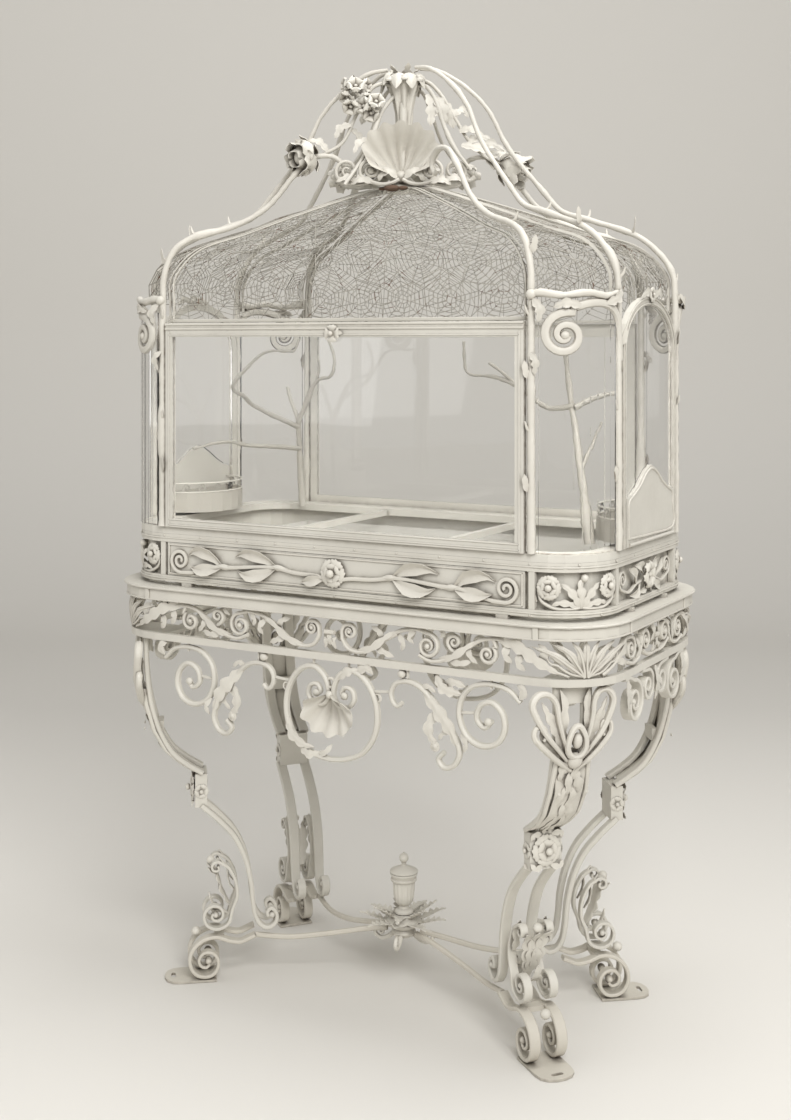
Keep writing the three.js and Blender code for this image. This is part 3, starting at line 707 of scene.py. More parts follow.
def branch_tree() -> bpy.types.NodeTree:
    """A tree that turns guide lines into knotty forged branches.

    Returns:
        A tree with the inputs Guide, Radius, Knot, Gnarl, Seed and Finish. The guide's points carry a
        thickness attribute that scales the radius.
    """
    plan = NodeTree("Forged_Branch", "GeometryNodeTree")
    plan.takes("Guide", "Geometry")
    plan.takes("Radius", "Float", 0.008)
    plan.takes("Knot", "Float", 0.5)
    plan.takes("Gnarl", "Float", 0.001)
    plan.takes("Seed", "Float", 0.0)
    plan.takes("Finish", "Material")
    plan.gives("Branch", "Geometry")
    line = plan.node("GeometryNodeMeshToCurve", {"Mesh": plan.inlet("Guide")})
    even = plan.node("GeometryNodeResampleCurve", {"Curve": line.outputs[0], "Length": 0.007}, mode="LENGTH")
    knots = plan.node("ShaderNodeTexNoise", {"Scale": 16.0, "Detail": 0.0, "W": plan.inlet("Seed")},
                      noise_dimensions="4D")
    bulge = plan.node("ShaderNodeMapRange", {"Value": knots.outputs[0], "From Min": 0.56, "From Max": 0.78,
                                             "To Max": plan.inlet("Knot")}, interpolation_type="SMOOTHSTEP")
    share = plan.node("GeometryNodeInputNamedAttribute", {"Name": "thickness"}, data_type="FLOAT")
    plump = plan.node("ShaderNodeMath", {0: bulge.outputs[0], 1: 1.0}, operation="ADD")
    scaled = plan.node("ShaderNodeMath", {0: plump.outputs[0], 1: share.outputs[0]}, operation="MULTIPLY")
    full = plan.node("ShaderNodeMath", {0: scaled.outputs[0], 1: plan.inlet("Radius")}, operation="MULTIPLY")
    sized = plan.node("GeometryNodeSetCurveRadius", {"Curve": even.outputs[0], "Radius": full.outputs[0]})
    gauge = plan.node("GeometryNodeCurvePrimitiveCircle", {"Resolution": 10, "Radius": 1.0})
    skin = plan.node("GeometryNodeCurveToMesh", {"Curve": sized.outputs[0], "Profile Curve": gauge.outputs[0],
                                                 "Fill Caps": True})
    if "Scale" in skin.inputs:
        radius = plan.node("GeometryNodeInputRadius")
        plan.tree.links.new(radius.outputs[0], skin.inputs["Scale"])
    dents = plan.node("ShaderNodeTexNoise", {"Scale": 70.0, "Detail": 2.0, "W": plan.inlet("Seed")},
                      noise_dimensions="4D")
    depth = plan.node("ShaderNodeMapRange", {"Value": dents.outputs[0], "From Min": 0.3, "From Max": 0.7,
                                             "To Min": -1.0, "To Max": 1.0})
    deep = plan.node("ShaderNodeMath", {0: depth.outputs[0], 1: plan.inlet("Gnarl")}, operation="MULTIPLY")
    out = plan.node("GeometryNodeInputNormal")
    push = plan.node("ShaderNodeVectorMath", {0: out.outputs[0], "Scale": deep.outputs[0]}, operation="SCALE")
    moved = plan.node("GeometryNodeSetPosition", {"Geometry": skin.outputs[0], "Offset": push.outputs[0]})
    whole = plan.node("GeometryNodeRealizeInstances", {0: moved.outputs[0]})
    coated = plan.node("GeometryNodeSetMaterial", {"Geometry": whole.outputs[0],
                                                   "Material": plan.inlet("Finish")})
    plan.put("Branch", coated.outputs[0])
    return plan.tree


def rivet_tree() -> bpy.types.NodeTree:
    """A tree that sets a domed rivet on every point of a mesh, along the point's normal.

    Returns:
        A tree with the inputs Seats, Radius, Height and Finish.
    """
    plan = NodeTree("Set_Rivets", "GeometryNodeTree")
    plan.takes("Seats", "Geometry")
    plan.takes("Radius", "Float", 0.003)
    plan.takes("Height", "Float", 0.5)
    plan.takes("Finish", "Material")
    plan.gives("Rivets", "Geometry")
    dome = plan.node("GeometryNodeMeshUVSphere", {"Segments": 10, "Rings": 6, "Radius": plan.inlet("Radius")})
    squash = plan.node("ShaderNodeCombineXYZ", {0: 1.0, 1: 1.0, 2: plan.inlet("Height")})
    flat = plan.node("GeometryNodeTransform", {"Geometry": dome.outputs[0], "Scale": squash.outputs[0]})
    seats = plan.node("GeometryNodeMeshToPoints", {"Mesh": plan.inlet("Seats")})
    facing = plan.node("GeometryNodeInputNamedAttribute", {"Name": "facing"}, data_type="FLOAT_VECTOR")
    aim = plan.node("FunctionNodeAlignRotationToVector", {"Vector": facing.outputs[0]}, axis="Z")
    placed = plan.node("GeometryNodeInstanceOnPoints", {"Points": seats.outputs[0], "Instance": flat.outputs[0],
                                                        "Rotation": aim.outputs[0]})
    whole = plan.node("GeometryNodeRealizeInstances", {0: placed.outputs[0]})
    smooth = plan.node("GeometryNodeSetShadeSmooth", {0: whole.outputs[0]})
    coated = plan.node("GeometryNodeSetMaterial", {"Geometry": smooth.outputs[0],
                                                   "Material": plan.inlet("Finish")})
    plan.put("Rivets", coated.outputs[0])
    return plan.tree


# ---------------------------------------------------------------- finishes


def mix_colour(tree: bpy.types.NodeTree, share: object, first: object, second: object,
               blend: str = "MIX") -> bpy.types.NodeSocket:
    """Adds a colour mix and returns its result."""
    made = add_node(tree, "ShaderNodeMix", {0: share, 6: first, 7: second}, data_type="RGBA", blend_type=blend)
    return made.outputs[2]


def weathering_and_shade_group() -> bpy.types.NodeTree:
    """The grime, painted shade in hollows, chips and casting grain that every painted surface shares.

    Returns:
        A shader group that puts out Colour, Roughness and Height.
    """
    plan = NodeTree("Weathered_Paint_And_Shade", "ShaderNodeTree")
    for name, kind, default in (("Paint", "Color", (0.7, 0.66, 0.58, 1)), ("Grime And Shade", "Color", (0.16, 0.13, 0.1, 1)),
                                ("Rust", "Color", (0.13, 0.07, 0.04, 1)), ("Grime And Shade Amount", "Float", 0.8),
                                ("Grime And Shade Reach", "Float", 0.012), ("Chips", "Float", 0.3),
                                ("Grain", "Float", 300.0), ("Sheen Low", "Float", 0.45),
                                ("Sheen High", "Float", 0.75)):
        plan.takes(name, kind, default)
    for name, kind in (("Colour", "Color"), ("Roughness", "Float"), ("Height", "Float")):
        plan.gives(name, kind)
    spot = plan.node("ShaderNodeTexCoord").outputs["Object"]
    broad = plan.node("ShaderNodeTexNoise", {"Vector": spot, "Scale": 7.0, "Detail": 5.0}).outputs[0]
    speck = plan.node("ShaderNodeTexNoise", {"Vector": spot, "Scale": 75.0, "Detail": 4.0}).outputs[0]
    grain = plan.node("ShaderNodeTexNoise", {"Vector": spot, "Scale": plan.inlet("Grain"), "Detail": 2.0}).outputs[0]
    flake = plan.node("ShaderNodeTexNoise", {"Vector": spot, "Scale": 38.0, "Detail": 6.0,
                                             "Roughness": 0.7}).outputs[0]
    # Painted shade: the ambient occlusion darkens hollows, creases and the gaps between parts towards the grime colour,
    # as shade would fall there; the speckle noise makes it patchy like lodged grime.
    corner = plan.node("ShaderNodeAmbientOcclusion", {"Distance": plan.inlet("Grime And Shade Reach")}, samples=6)
    hollow = plan.node("ShaderNodeMapRange", {"Value": corner.outputs["AO"], "From Min": 0.9, "From Max": 0.25})
    patchy = plan.node("ShaderNodeMapRange", {"Value": speck, "From Min": 0.3, "From Max": 0.7, "To Min": 0.45,
                                              "To Max": 1.15})
    shade_and_lodged_grime = plan.node("ShaderNodeMath", {0: hollow.outputs[0], 1: patchy.outputs[0]}, operation="MULTIPLY")
    grime_and_shade = plan.node("ShaderNodeMath", {0: shade_and_lodged_grime.outputs[0], 1: plan.inlet("Grime And Shade Amount")},
                     operation="MULTIPLY", use_clamp=True)
    film = plan.node("ShaderNodeMapRange", {"Value": broad, "From Min": 0.35, "From Max": 0.75, "To Min": 0.0,
                                            "To Max": 0.16})
    edge = plan.node("ShaderNodeMath", {0: 0.84, 1: plan.inlet("Chips")}, operation="SUBTRACT")
    chip = plan.node("ShaderNodeMapRange", {"Value": flake, "From Min": edge.outputs[0], "From Max": 0.9})
    chip_mask = plan.node("ShaderNodeMath", {0: chip.outputs[0], 1: 9.0}, operation="MULTIPLY", use_clamp=True)
    tint = mix_colour(plan.tree, film.outputs[0], plan.inlet("Paint"), plan.inlet("Grime And Shade"))
    soiled_and_shaded = mix_colour(plan.tree, grime_and_shade.outputs[0], tint, plan.inlet("Grime And Shade"))
    worn = mix_colour(plan.tree, chip_mask.outputs[0], soiled_and_shaded, plan.inlet("Rust"))
    plan.put("Colour", worn)
    rough = plan.node("ShaderNodeMapRange", {"Value": speck, "From Min": 0.3, "From Max": 0.7,
                                             "To Min": plan.inlet("Sheen Low"), "To Max": plan.inlet("Sheen High")})
    plan.put("Roughness", rough.outputs[0])
    fine = plan.node("ShaderNodeMath", {0: grain, 1: 0.35}, operation="MULTIPLY")
    lumps = plan.node("ShaderNodeMath", {0: speck, 1: 0.8}, operation="MULTIPLY")
    both = plan.node("ShaderNodeMath", {0: fine.outputs[0], 1: lumps.outputs[0]}, operation="ADD")
    pitted = plan.node("ShaderNodeMath", {0: both.outputs[0], 1: chip_mask.outputs[0]}, operation="SUBTRACT")
    plan.put("Height", pitted.outputs[0])
    return plan.tree


@dataclass(frozen=True)
class PaintedIron:
    """Old off-white paint on iron: grime and painted shade in the hollows, small chips and a brushed, lumpy skin."""

    name: str
    paint: tuple[float, float, float]
    # The grime amount, reach and colour below set both a real grime film and the painted shade that the occlusion mask
    # lays in hollows and between parts.
    grime_and_shade_amount: float = 0.85
    grime_and_shade_reach: float = 0.012
    chips: float = 0.02
    grain: float = 260.0
    relief: float = 0.0005
    sheen: tuple[float, float] = (0.42, 0.68)
    grime_and_shade: tuple[float, float, float] = (0.145, 0.118, 0.088)
    metal: float = 0.0

    def material(self, group: bpy.types.NodeTree) -> bpy.types.Material:
        """Builds the material.

        Args:
            group: The shared group of weathering and painted shade.

        Returns:
            The new material.
        """
        made = bpy.data.materials.new(self.name)
        made.use_nodes = True
        tree = made.node_tree
        shader = tree.nodes["Principled BSDF"]
        shader.inputs["Metallic"].default_value = self.metal
        worn = add_node(tree, "ShaderNodeGroup", node_tree=group)
        for socket, value in (("Paint", (*self.paint, 1)), ("Grime And Shade", (*self.grime_and_shade, 1)),
                              ("Grime And Shade Amount", self.grime_and_shade_amount), ("Grime And Shade Reach", self.grime_and_shade_reach),
                              ("Chips", self.chips), ("Grain", self.grain), ("Sheen Low", self.sheen[0]),
                              ("Sheen High", self.sheen[1])):
            worn.inputs[socket].default_value = value
        bump = add_node(tree, "ShaderNodeBump", {"Height": worn.outputs["Height"], "Distance": self.relief,
                                                 "Strength": 0.8})
        tree.links.new(worn.outputs["Colour"], shader.inputs["Base Color"])
        tree.links.new(worn.outputs["Roughness"], shader.inputs["Roughness"])
        tree.links.new(bump.outputs[0], shader.inputs["Normal"])
        return made


@dataclass(frozen=True)
class OldGlass:
    """Clear pane glass with faint waves."""

    name: str
    tint: tuple[float, float, float] = (0.99, 0.99, 0.985)
    roughness: float = 0.02

    def material(self) -> bpy.types.Material:
        """Builds the material: panes let light straight through, with a mirror film by angle."""
        made = bpy.data.materials.new(self.name)
        made.use_nodes = True
        tree = made.node_tree
        shader = tree.nodes["Principled BSDF"]
        shader.inputs["Base Color"].default_value = (*self.tint, 1)
        shader.inputs["Roughness"].default_value = self.roughness
        shader.inputs["Transmission Weight"].default_value = 1.0
        shader.inputs["IOR"].default_value = 1.45
        spot = add_node(tree, "ShaderNodeTexCoord").outputs["Object"]
        wave = add_node(tree, "ShaderNodeTexNoise", {"Vector": spot, "Scale": 6.0, "Detail": 1.0})
        bump = add_node(tree, "ShaderNodeBump", {"Height": wave.outputs[0], "Distance": 0.002, "Strength": 0.15})
        tree.links.new(bump.outputs[0], shader.inputs["Normal"])
        clear = add_node(tree, "ShaderNodeBsdfTransparent", {0: (*self.tint, 1)})
        shadow = add_node(tree, "ShaderNodeLightPath").outputs["Is Shadow Ray"]
        blend = add_node(tree, "ShaderNodeMixShader", {0: shadow, 1: shader.outputs[0], 2: clear.outputs[0]})
        tree.links.new(blend.outputs[0], tree.nodes["Material Output"].inputs["Surface"])
        return made


@dataclass
class Finishes:
    """Every finish on the cage, made once."""

    weathering_and_shade: bpy.types.NodeTree = field(default_factory=weathering_and_shade_group)

    def __post_init__(self) -> None:
        """Builds the materials."""
        # The grime amounts and reaches below also set how much painted shade darkens each finish's hollows and the gaps
        # between parts.
        white = (0.65, 0.622, 0.555)
        build = self.weathering_and_shade
        self.cast = PaintedIron("Cast_Ornament", white, grime_and_shade_amount=1.0, grime_and_shade_reach=0.014,
                                chips=0.045, relief=0.0007).material(build)
        self.bar = PaintedIron("Forged_Bar", (0.63, 0.605, 0.54), grime_and_shade_amount=0.9, grime_and_shade_reach=0.012,
                               chips=0.06).material(build)
        self.sheet = PaintedIron("Painted_Sheet", (0.63, 0.607, 0.545), grime_and_shade_amount=0.9, grime_and_shade_reach=0.016,
                                 chips=0.03, grain=420.0, relief=0.00035).material(build)
        # The web wire's darker paint stands partly for grimy, rusty paint and partly for painted shade on wires turned
        # away from the light.
        self.wire = PaintedIron("Web_Wire_Grimy_And_Shaded", (0.4, 0.378, 0.33), grime_and_shade_amount=0.3, grime_and_shade_reach=0.006, chips=0.25,
                                relief=0.0002).material(build)
        self.twig = PaintedIron("Branch_Perch", (0.47, 0.445, 0.39), grime_and_shade_amount=0.8, grime_and_shade_reach=0.012,
                                chips=0.1, grain=180.0, relief=0.0012).material(build)
        self.zinc = PaintedIron("Zinc_Tray", (0.66, 0.645, 0.6), grime_and_shade_amount=0.6, grime_and_shade_reach=0.03, chips=0.08,
                                sheen=(0.3, 0.55), metal=0.1).material(build)
        self.foot = PaintedIron("Worn_Foot", (0.6, 0.565, 0.49), grime_and_shade_amount=1.0, grime_and_shade_reach=0.016,
                                chips=0.14, relief=0.0009).material(build)
        self.rust = PaintedIron("Rusty_Patch", (0.12, 0.07, 0.045), grime_and_shade_amount=0.6, chips=0.1,
                                sheen=(0.7, 0.95)).material(build)
        self.glass = OldGlass("Old_Glass").material()


# ---------------------------------------------------------------- workshop and studio


@dataclass
class Workshop:
    """Turns castings into pieces, hangs each on its body and reports it."""

    frame: dict
    finishes: Finishes
    webs: bpy.types.NodeTree = field(default_factory=lambda: web_tree(5))
    branches: bpy.types.NodeTree = field(default_factory=branch_tree)
    rivets: bpy.types.NodeTree = field(default_factory=rivet_tree)

    def hang(self, piece: bpy.types.Object, body: Body, slot: Slot, replaces: Sequence[str] = ()) -> None:
        """Rides a piece on its body and hides the nodes that it stands for.

        Args:
            piece: The finished object.
            body: The body that it moves with.
            slot: The record's material slot; not used.
            replaces: CAD nodes that it stands for.
        """
        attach(piece, body.value)
        if replaces:
            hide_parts(*replaces)
        LOG.info("%s: %d faces on %s", piece.name, len(piece.data.polygons), body.value)

    def cast(self, name: str, casting: Casting, finish: bpy.types.Material, body: Body = Body.CAGE,
             slot: Slot = Slot.IRON, replaces: Sequence[str] = (), ease: float = 0.0) -> bpy.types.Object:
        """Makes a piece of a casting.

        Args:
            name: The piece's name.
            casting: The gathered shells.
            finish: Its material.
            body: The body that it moves with.
            slot: The record's material slot.
            replaces: CAD nodes that it stands for.
            ease: Width of a bevel along crisp edges in metres, or 0 for none.

        Returns:
            The piece.
        """
        mesh = casting.mesh(name)
        mesh.materials.append(finish)
        piece = bpy.data.objects.new(name, mesh)
        bpy.context.collection.objects.link(piece)
        if ease:
            bevel = piece.modifiers.new("Eased", "BEVEL")
            bevel.width, bevel.segments, bevel.angle_limit = ease, 2, CRISP_EDGE
        self.hang(piece, body, slot, replaces)
        return piece

    def branch(self, name: str, lines: Sequence[tuple[Sequence[Vector], float, float]], radius: float,
               finish: bpy.types.Material, slot: Slot = Slot.IRON, knot: float = 0.45, gnarl: float = 0.6,
               seed: float = 0.0, body: Body = Body.CAGE, replaces: Sequence[str] = ()) -> bpy.types.Object:
        """Grows knotty branches along guide lines.

        Args:
            name: The piece's name.
            lines: Guide lines in millimetres, each with its thickness at the start and at the end.
            radius: The branch's radius in millimetres where the thickness is 1.
            finish: Its material.
            slot: The record's material slot.
            knot: How far knots swell, as a share of the radius.
            gnarl: Depth of the dents in millimetres.
            seed: Which pattern of knots.
            body: The body that it moves with.
            replaces: CAD nodes that it stands for.

        Returns:
            The piece.
        """
        points, edges, shares = [], [], []
        for line, root, tip in lines:
            base = len(points)
            points += [tuple(p * MM) for p in line]
            edges += [(base + i, base + i + 1) for i in range(len(line) - 1)]
            shares += [root + (tip - root) * i / (len(line) - 1) for i in range(len(line))]
        guide = bpy.data.meshes.new(f"{name}_guide")
        guide.from_pydata(points, edges, [])
        guide.attributes.new("thickness", "FLOAT", "POINT").data.foreach_set("value", shares)
        piece = grown(name, guide, self.branches, {"Radius": radius * MM, "Knot": knot, "Gnarl": gnarl * MM,
                                                   "Seed": seed, "Finish": finish})
        piece.data.polygons.foreach_set("use_smooth", [True] * len(piece.data.polygons))
        self.hang(piece, body, slot, replaces)
        return piece

    def studs(self, name: str, seats: Sequence[tuple[Vector, Vector]], radius: float, finish: bpy.types.Material,
              body: Body = Body.CAGE, height: float = 0.5, slot: Slot = Slot.IRON) -> bpy.types.Object:
        """Sets rivets on given seats.

        Args:
            name: The piece's name.
            seats: Places in millimetres, each with the way that its rivet looks.
            radius: A rivet's radius in millimetres.
            finish: Their material.
            body: The body that they move with.
            height: A dome's height as a share of its radius.
            slot: The record's material slot.

        Returns:
            The piece.
        """
        guide = bpy.data.meshes.new(f"{name}_guide")
        guide.from_pydata([tuple(p * MM) for p, _ in seats], [], [])
        ways = [part for _, way in seats for part in way.normalized()]
        guide.attributes.new("facing", "FLOAT_VECTOR", "POINT").data.foreach_set("vector", ways)
        piece = grown(name, guide, self.rivets, {"Radius": radius * MM, "Height": height, "Finish": finish})
        self.hang(piece, body, slot)
        return piece

    def dress(self, finish: bpy.types.Material, *names: str) -> None:
        """Gives carried-over CAD nodes a finish."""
        for name in names:
            node = self.frame["nodes"][name]
            for slot in node.material_slots:
                slot.link = "OBJECT"
                slot.material = finish
            LOG.info("%s: dressed in %s", name, finish.name)


@dataclass
class Studio:
    """A pale floor that sweeps up into a backdrop, soft lights and the camera."""

    lens: float = 48.62
    spot: tuple[float, float, float] = (1.565, -2.767, 1.3522)
    turn: float = 29.4342
    shift: tuple[float, float] = (-0.0088, -0.1958)
    floor_colour: tuple[float, float, float] = (0.69, 0.668, 0.625)

    def build(self) -> None:
        """Makes everything that isn't the object."""
        self.sweep()
        self.camera()
        self.lights()

    def sweep(self) -> None:
        """The floor and its backdrop, with painted shade and light along the sweep."""
        size, rise, radius = 14.0, 9.0, 1.6
        back = 3.6
        profile = [(-size, 0.0)]
        profile += [(back + radius * math.sin(a), radius * (1 - math.cos(a)))
                    for a in (math.pi / 2 * i / 12 for i in range(13))]
        profile += [(back + radius, rise)]
        way = math.radians(self.turn)
        along, across = Vector((-math.sin(way), math.cos(way), 0)), Vector((math.cos(way), math.sin(way), 0))
        points = []
        for side in SIDES:
            points += [tuple(along * d + across * (side * size) + UP * (h - 0.0005)) for d, h in profile]
        count = len(profile)
        faces = [(i, i + 1, count + i + 1, count + i) for i in range(count - 1)]
        mesh = bpy.data.meshes.new("Studio_Sweep")
        mesh.from_pydata(points, [], faces)
        mesh.polygons.foreach_set("use_smooth", [True] * len(mesh.polygons))
        made = bpy.data.objects.new("Studio_Sweep", mesh)
        bpy.context.collection.objects.link(made)
        paper = bpy.data.materials.new("Backdrop_Paper")
        paper.use_nodes = True
        tree = paper.node_tree
        shader = tree.nodes["Principled BSDF"]
        shader.inputs["Roughness"].default_value = 0.85
        spot = add_node(tree, "ShaderNodeTexCoord").outputs["Object"]
        reach = add_node(tree, "ShaderNodeVectorMath", {0: spot, 1: (along.x, along.y, 1.0)},
                         operation="DOT_PRODUCT")
        share = add_node(tree, "ShaderNodeMapRange", {0: reach.outputs["Value"], 1: -1.0, 2: 9.0})
        # Painted light and shade on the backdrop: the tone darkens over the floor behind the cage towards the bend and
        # grows lighter up the wall.
        ramp = add_node(tree, "ShaderNodeValToRGB", {0: share.outputs[0]})
        stops = ramp.color_ramp.elements
        for place, shade in ((0.0, 1.02), (0.13, 1.0), (0.34, 0.84), (0.6, 0.9), (1.0, 1.12)):
            stop = stops[0] if place == 0.0 else stops[-1] if place == 1.0 else stops.new(place)
            stop.color = (*[c * shade for c in self.floor_colour], 1)
        tree.links.new(ramp.outputs[0], shader.inputs["Base Color"])
        mesh.materials.append(paper)

    def camera(self) -> None:
        """A level camera that looks down by lens shift."""
        data = bpy.data.cameras.new("Camera")
        data.lens, data.shift_x, data.shift_y = self.lens, *self.shift
        made = bpy.data.objects.new("Camera", data)
        made.location = self.spot
        made.rotation_euler = (math.pi / 2, 0.0, math.radians(self.turn))
        bpy.context.collection.objects.link(made)
        bpy.context.scene.camera = made

    def lights(self) -> None:
        """A wide soft key from the upper right, a fill from the left and a pale surround."""
        for name, spot, power, size in (("Key", (3.5, -3.5, 4.3), 275.0, 2.8), ("Fill", (-3.6, -3.4, 2.6), 40.0, 3.6),
                                        ("Top", (0.8, 0.2, 4.6), 80.0, 2.2)):
            data = bpy.data.lights.new(name, "AREA")
            data.energy, data.size = power, size
            made = bpy.data.objects.new(name, data)
            made.location = spot
            aim = Vector((0.0, 0.0, 1.0)) - Vector(spot)
            made.rotation_euler = aim.to_track_quat("-Z", "Y").to_euler()
            made.visible_camera = False
            bpy.context.collection.objects.link(made)
        world = bpy.data.worlds.new("Surround")
        world.use_nodes = True
        sky = world.node_tree.nodes["Background"]
        sky.inputs[0].default_value = (0.9, 0.89, 0.87, 1)
        sky.inputs[1].default_value = 0.5
        bpy.context.scene.world = world
        bpy.context.scene.view_settings.view_transform = "Standard"


# ---------------------------------------------------------------- roof


def clipped(outline: list[Vector], point: Vector, normal: Vector) -> list[Vector]:
    """The part of an outline behind a line.

    Args:
        outline: The outline's corners.
        point: A point on the line.
        normal: The line's normal, pointing at what is cut off.

    Returns:
        The corners that are left.
    """
    kept = []
    for a, b in zip(outline, outline[1:] + outline[:1]):
        da, db = (a - point).dot(normal), (b - point).dot(normal)
        if da <= 0:
            kept.append(a)
        if (da < 0 < db) or (db < 0 < da):
            kept.append(a.lerp(b, da / (da - db)))
    return kept


@dataclass
class Roof:
    """Spun wire webs over the domed roof, held between flat edge bars."""

    shop: Workshop
    half_x: float = 524.0
    half_y: float = 259.0
    corner: float = 104.0
    cell: float = 122.0
    jitter: float = 17.0
    wire: float = 0.85
    wander: float = 1.2
    spread: float = 0.88
    head: float = 1390.0
    end_head: float = 1432.0
    profile: Outline = field(default_factory=lambda: [
        (1, 1390), (1, 1432), (1, 1474), (0.97, 1503), (0.92, 1530), (0.85, 1550), (0.7, 1573), (0.5, 1610),
        (0.2, 1660), (0.09, 1672)])

    def __post_init__(self) -> None:
        """Smooths the roof's profile."""
        self.line = bend(self.profile, 0.05)
        fine = []
        for a, b in zip(self.line, self.line[1:]):
            fine += [a.lerp(b, i / 8) for i in range(8)]
        self.line = [*fine, self.line[-1]]

    def runs(self, reach: float) -> list[tuple[float, Vector]]:
        """Distance up the roof and profile point, for a side whose depth is reach."""
        total, out = 0.0, []
        for i, p in enumerate(self.line):
            if i:
                q = self.line[i - 1]
                total += math.hypot((p.x - q.x) * reach, p.y - q.y)
            out.append((total, p))
        return out

    def spot(self, front: bool, sign: int, run: float, scale: float, height: float, out: float = 0.0) -> Vector:
        """A point on the roof.

        Args:
            front: True for the front and back faces, False for the ends with their corners.
            sign: 1 or -1 for which of the two.
            run: Distance from the face's middle line at this height.
            scale: The profile's share of the full plan.
            height: The height.
            out: Distance outwards in plan.

        Returns:
            The point in the frame.
        """
        if front:
            return Vector((run, sign * (self.half_y * scale + out), height))
        flat, turn = (self.half_y - self.corner) * scale, self.corner * scale
        side, far = (1 if run >= 0 else -1), abs(run)
        if far <= flat:
            return Vector((sign * (self.half_x * scale + out), run, height))
        angle = min((far - flat) / max(turn, 1e-6), math.pi / 2)
        x = (self.half_x - self.corner) * scale + (turn + out) * math.cos(angle)
        return Vector((sign * x, side * (flat + (turn + out) * math.sin(angle)), height))

    def half_width(self, front: bool, scale: float) -> float:
        """Half the width of a web face where the profile's share is scale."""
        if front:
            return (self.half_x - self.corner) * scale - 8
        return (self.half_y - self.corner + self.corner * math.pi / 2) * scale - 4

    def web(self, name: str, front: bool, sign: int, seed: int, replaces: str) -> None:
        """Spins the webs of one face.

        Args:
            name: The piece's name.
            front: True for the front and back faces, False for the ends.
            sign: 1 or -1 for which of the two.
            seed: Seed for the places of the webs.
            replaces: The CAD sheet that it stands for.
        """
        rng = random.Random(seed)
        rise = self.runs(self.half_y if front else (self.half_x + self.half_y) / 2)
        foot = self.head if front else self.end_head
        rise = [(length, p) for length, p in rise if p.y >= foot]
        low = rise[0][0]
        rise = [(length - low, p) for length, p in rise]
        top = rise[-1][0]

        def at(length: float) -> Vector:
            """The profile point at a distance up the face."""
            for (a, p), (b, q) in zip(rise, rise[1:]):
                if length <= b:
                    return p.lerp(q, max(0.0, (length - a) / max(b - a, 1e-6)))
            return rise[-1][1]

        levels = [top * i / 12 for i in range(13)]
        outline = [vec(self.half_width(front, at(v).x), v) for v in levels]
        outline += [vec(-p.x, p.y) for p in reversed(outline)]
        widest = outline[0].x
        seeds, row = [], 0
        v = self.cell * 0.36
        while v < top + self.cell * 0.3:
            u = -widest + self.cell * (0.25 + 0.5 * (row % 2))
            while u < widest + self.cell * 0.4:
                if abs(u) < self.half_width(front, at(min(v, top)).x) + self.cell * 0.3:
                    seeds.append(vec(u + rng.uniform(-1, 1) * self.jitter, v + rng.uniform(-1, 1) * self.jitter))
                u += self.cell
            v += self.cell * 0.86
            row += 1
        points, ties, faces, strung = [], [], [], set()
        for here in seeds:
            cell = list(outline)
            for other in seeds:
                gap = other - here
                if 0 < gap.length < self.cell * 2.6:
                    cell = clipped(cell, (here + other) / 2, gap)
                if len(cell) < 3:
                    break
            if len(cell) < 3:
                continue
            ring = []
            for a, b in zip(cell, cell[1:] + cell[:1]):
                if (b - a).length < 5:
                    continue
                cuts = 2 if (b - a).length > self.cell * 0.4 else 1
                ring += [a.lerp(b, i / cuts) for i in range(cuts)]
            if len(ring) < 4:
                continue
            heart = sum(ring, Vector()) / len(ring)
            mean = sum((p - heart).length for p in ring) / len(ring)
            rounded = []
            for p in ring:
                reach = (p - heart).length
                near = min(reach * 0.93, (reach + 3 * mean) / 4 * self.spread)
                rounded.append(heart + (p - heart) * (near / max(reach, 1e-6)))
            base, count = len(points), len(ring)
            for p in [*rounded, *ring]:
                q = at(max(0.0, min(top, p.y)))
                points.append(tuple(self.spot(front, sign, p.x, q.x, q.y) * MM))
            faces.append(tuple(range(base, base + count)))
            ties += [(base + i, base + count + i) for i in range(count)]
            for i, p in enumerate(ring):
                middle = (p + ring[(i + 1) % count]) / 2
                mark = (round(middle.x / 2), round(middle.y / 2))
                if mark not in strung:
                    strung.add(mark)
                    ties.append((base + count + i, base + count + (i + 1) % count))
        guide = bpy.data.meshes.new(f"{name}_cells")
        guide.from_pydata(points, ties, faces)
        piece = grown(name, guide, self.shop.webs, {"Wire Radius": self.wire * MM, "Wander": self.wander * MM,
                                                    "Finish": self.shop.finishes.wire})
        self.shop.hang(piece, Body.CAGE, Slot.WIRE, [replaces])

    def edge_bars(self) -> None:
        """The flat bars that the webs are laced to."""
        casting = Casting()
        for sign in SIDES:
            for side in SIDES:
                for inset, proud in ((6.0, 1.5), (16.0, 1.0)):
                    line = []
                    for p in self.line[::3]:
                        edge = max(self.half_width(True, p.x) - inset + 6, 2)
                        line.append(self.spot(True, sign, side * edge, p.x, p.y, proud))
                    casting.bar(line, flat_section(3.0, 6.0, 0.8), Vector((0, sign, 0.02)))
                line = []
                for p in self.line[::3]:
                    if p.y >= self.end_head - 20:
                        run = (self.half_y - self.corner) * p.x + 2
                        line.append(self.spot(False, sign, side * run, p.x, p.y, 1.0))
                casting.bar(line, flat_section(3.0, 7.0, 0.8), Vector((sign, 0, 0.02)))
            cross = [self.spot(True, sign, x, 1.0, self.head + 3, 1.0) for x in (-411, 0, 411)]
            casting.bar(cross, flat_section(7.0, 3.0, 0.8), Vector((0, 1, 0)))
        self.shop.cast("Roof_Edge_Bars", casting, self.shop.finishes.bar)

    def build(self) -> None:
        """Makes the four web faces and their bars."""
        self.web("Roof_Web_Front", True, -1, 11, "roof_mesh_front")
        self.web("Roof_Web_Back", True, 1, 12, "roof_mesh_back")
        self.web("Roof_Web_Left", False, -1, 13, "roof_mesh_left")
        self.web("Roof_Web_Right", False, 1, 14, "roof_mesh_right")
        self.edge_bars()


# ---------------------------------------------------------------- posts and ribs


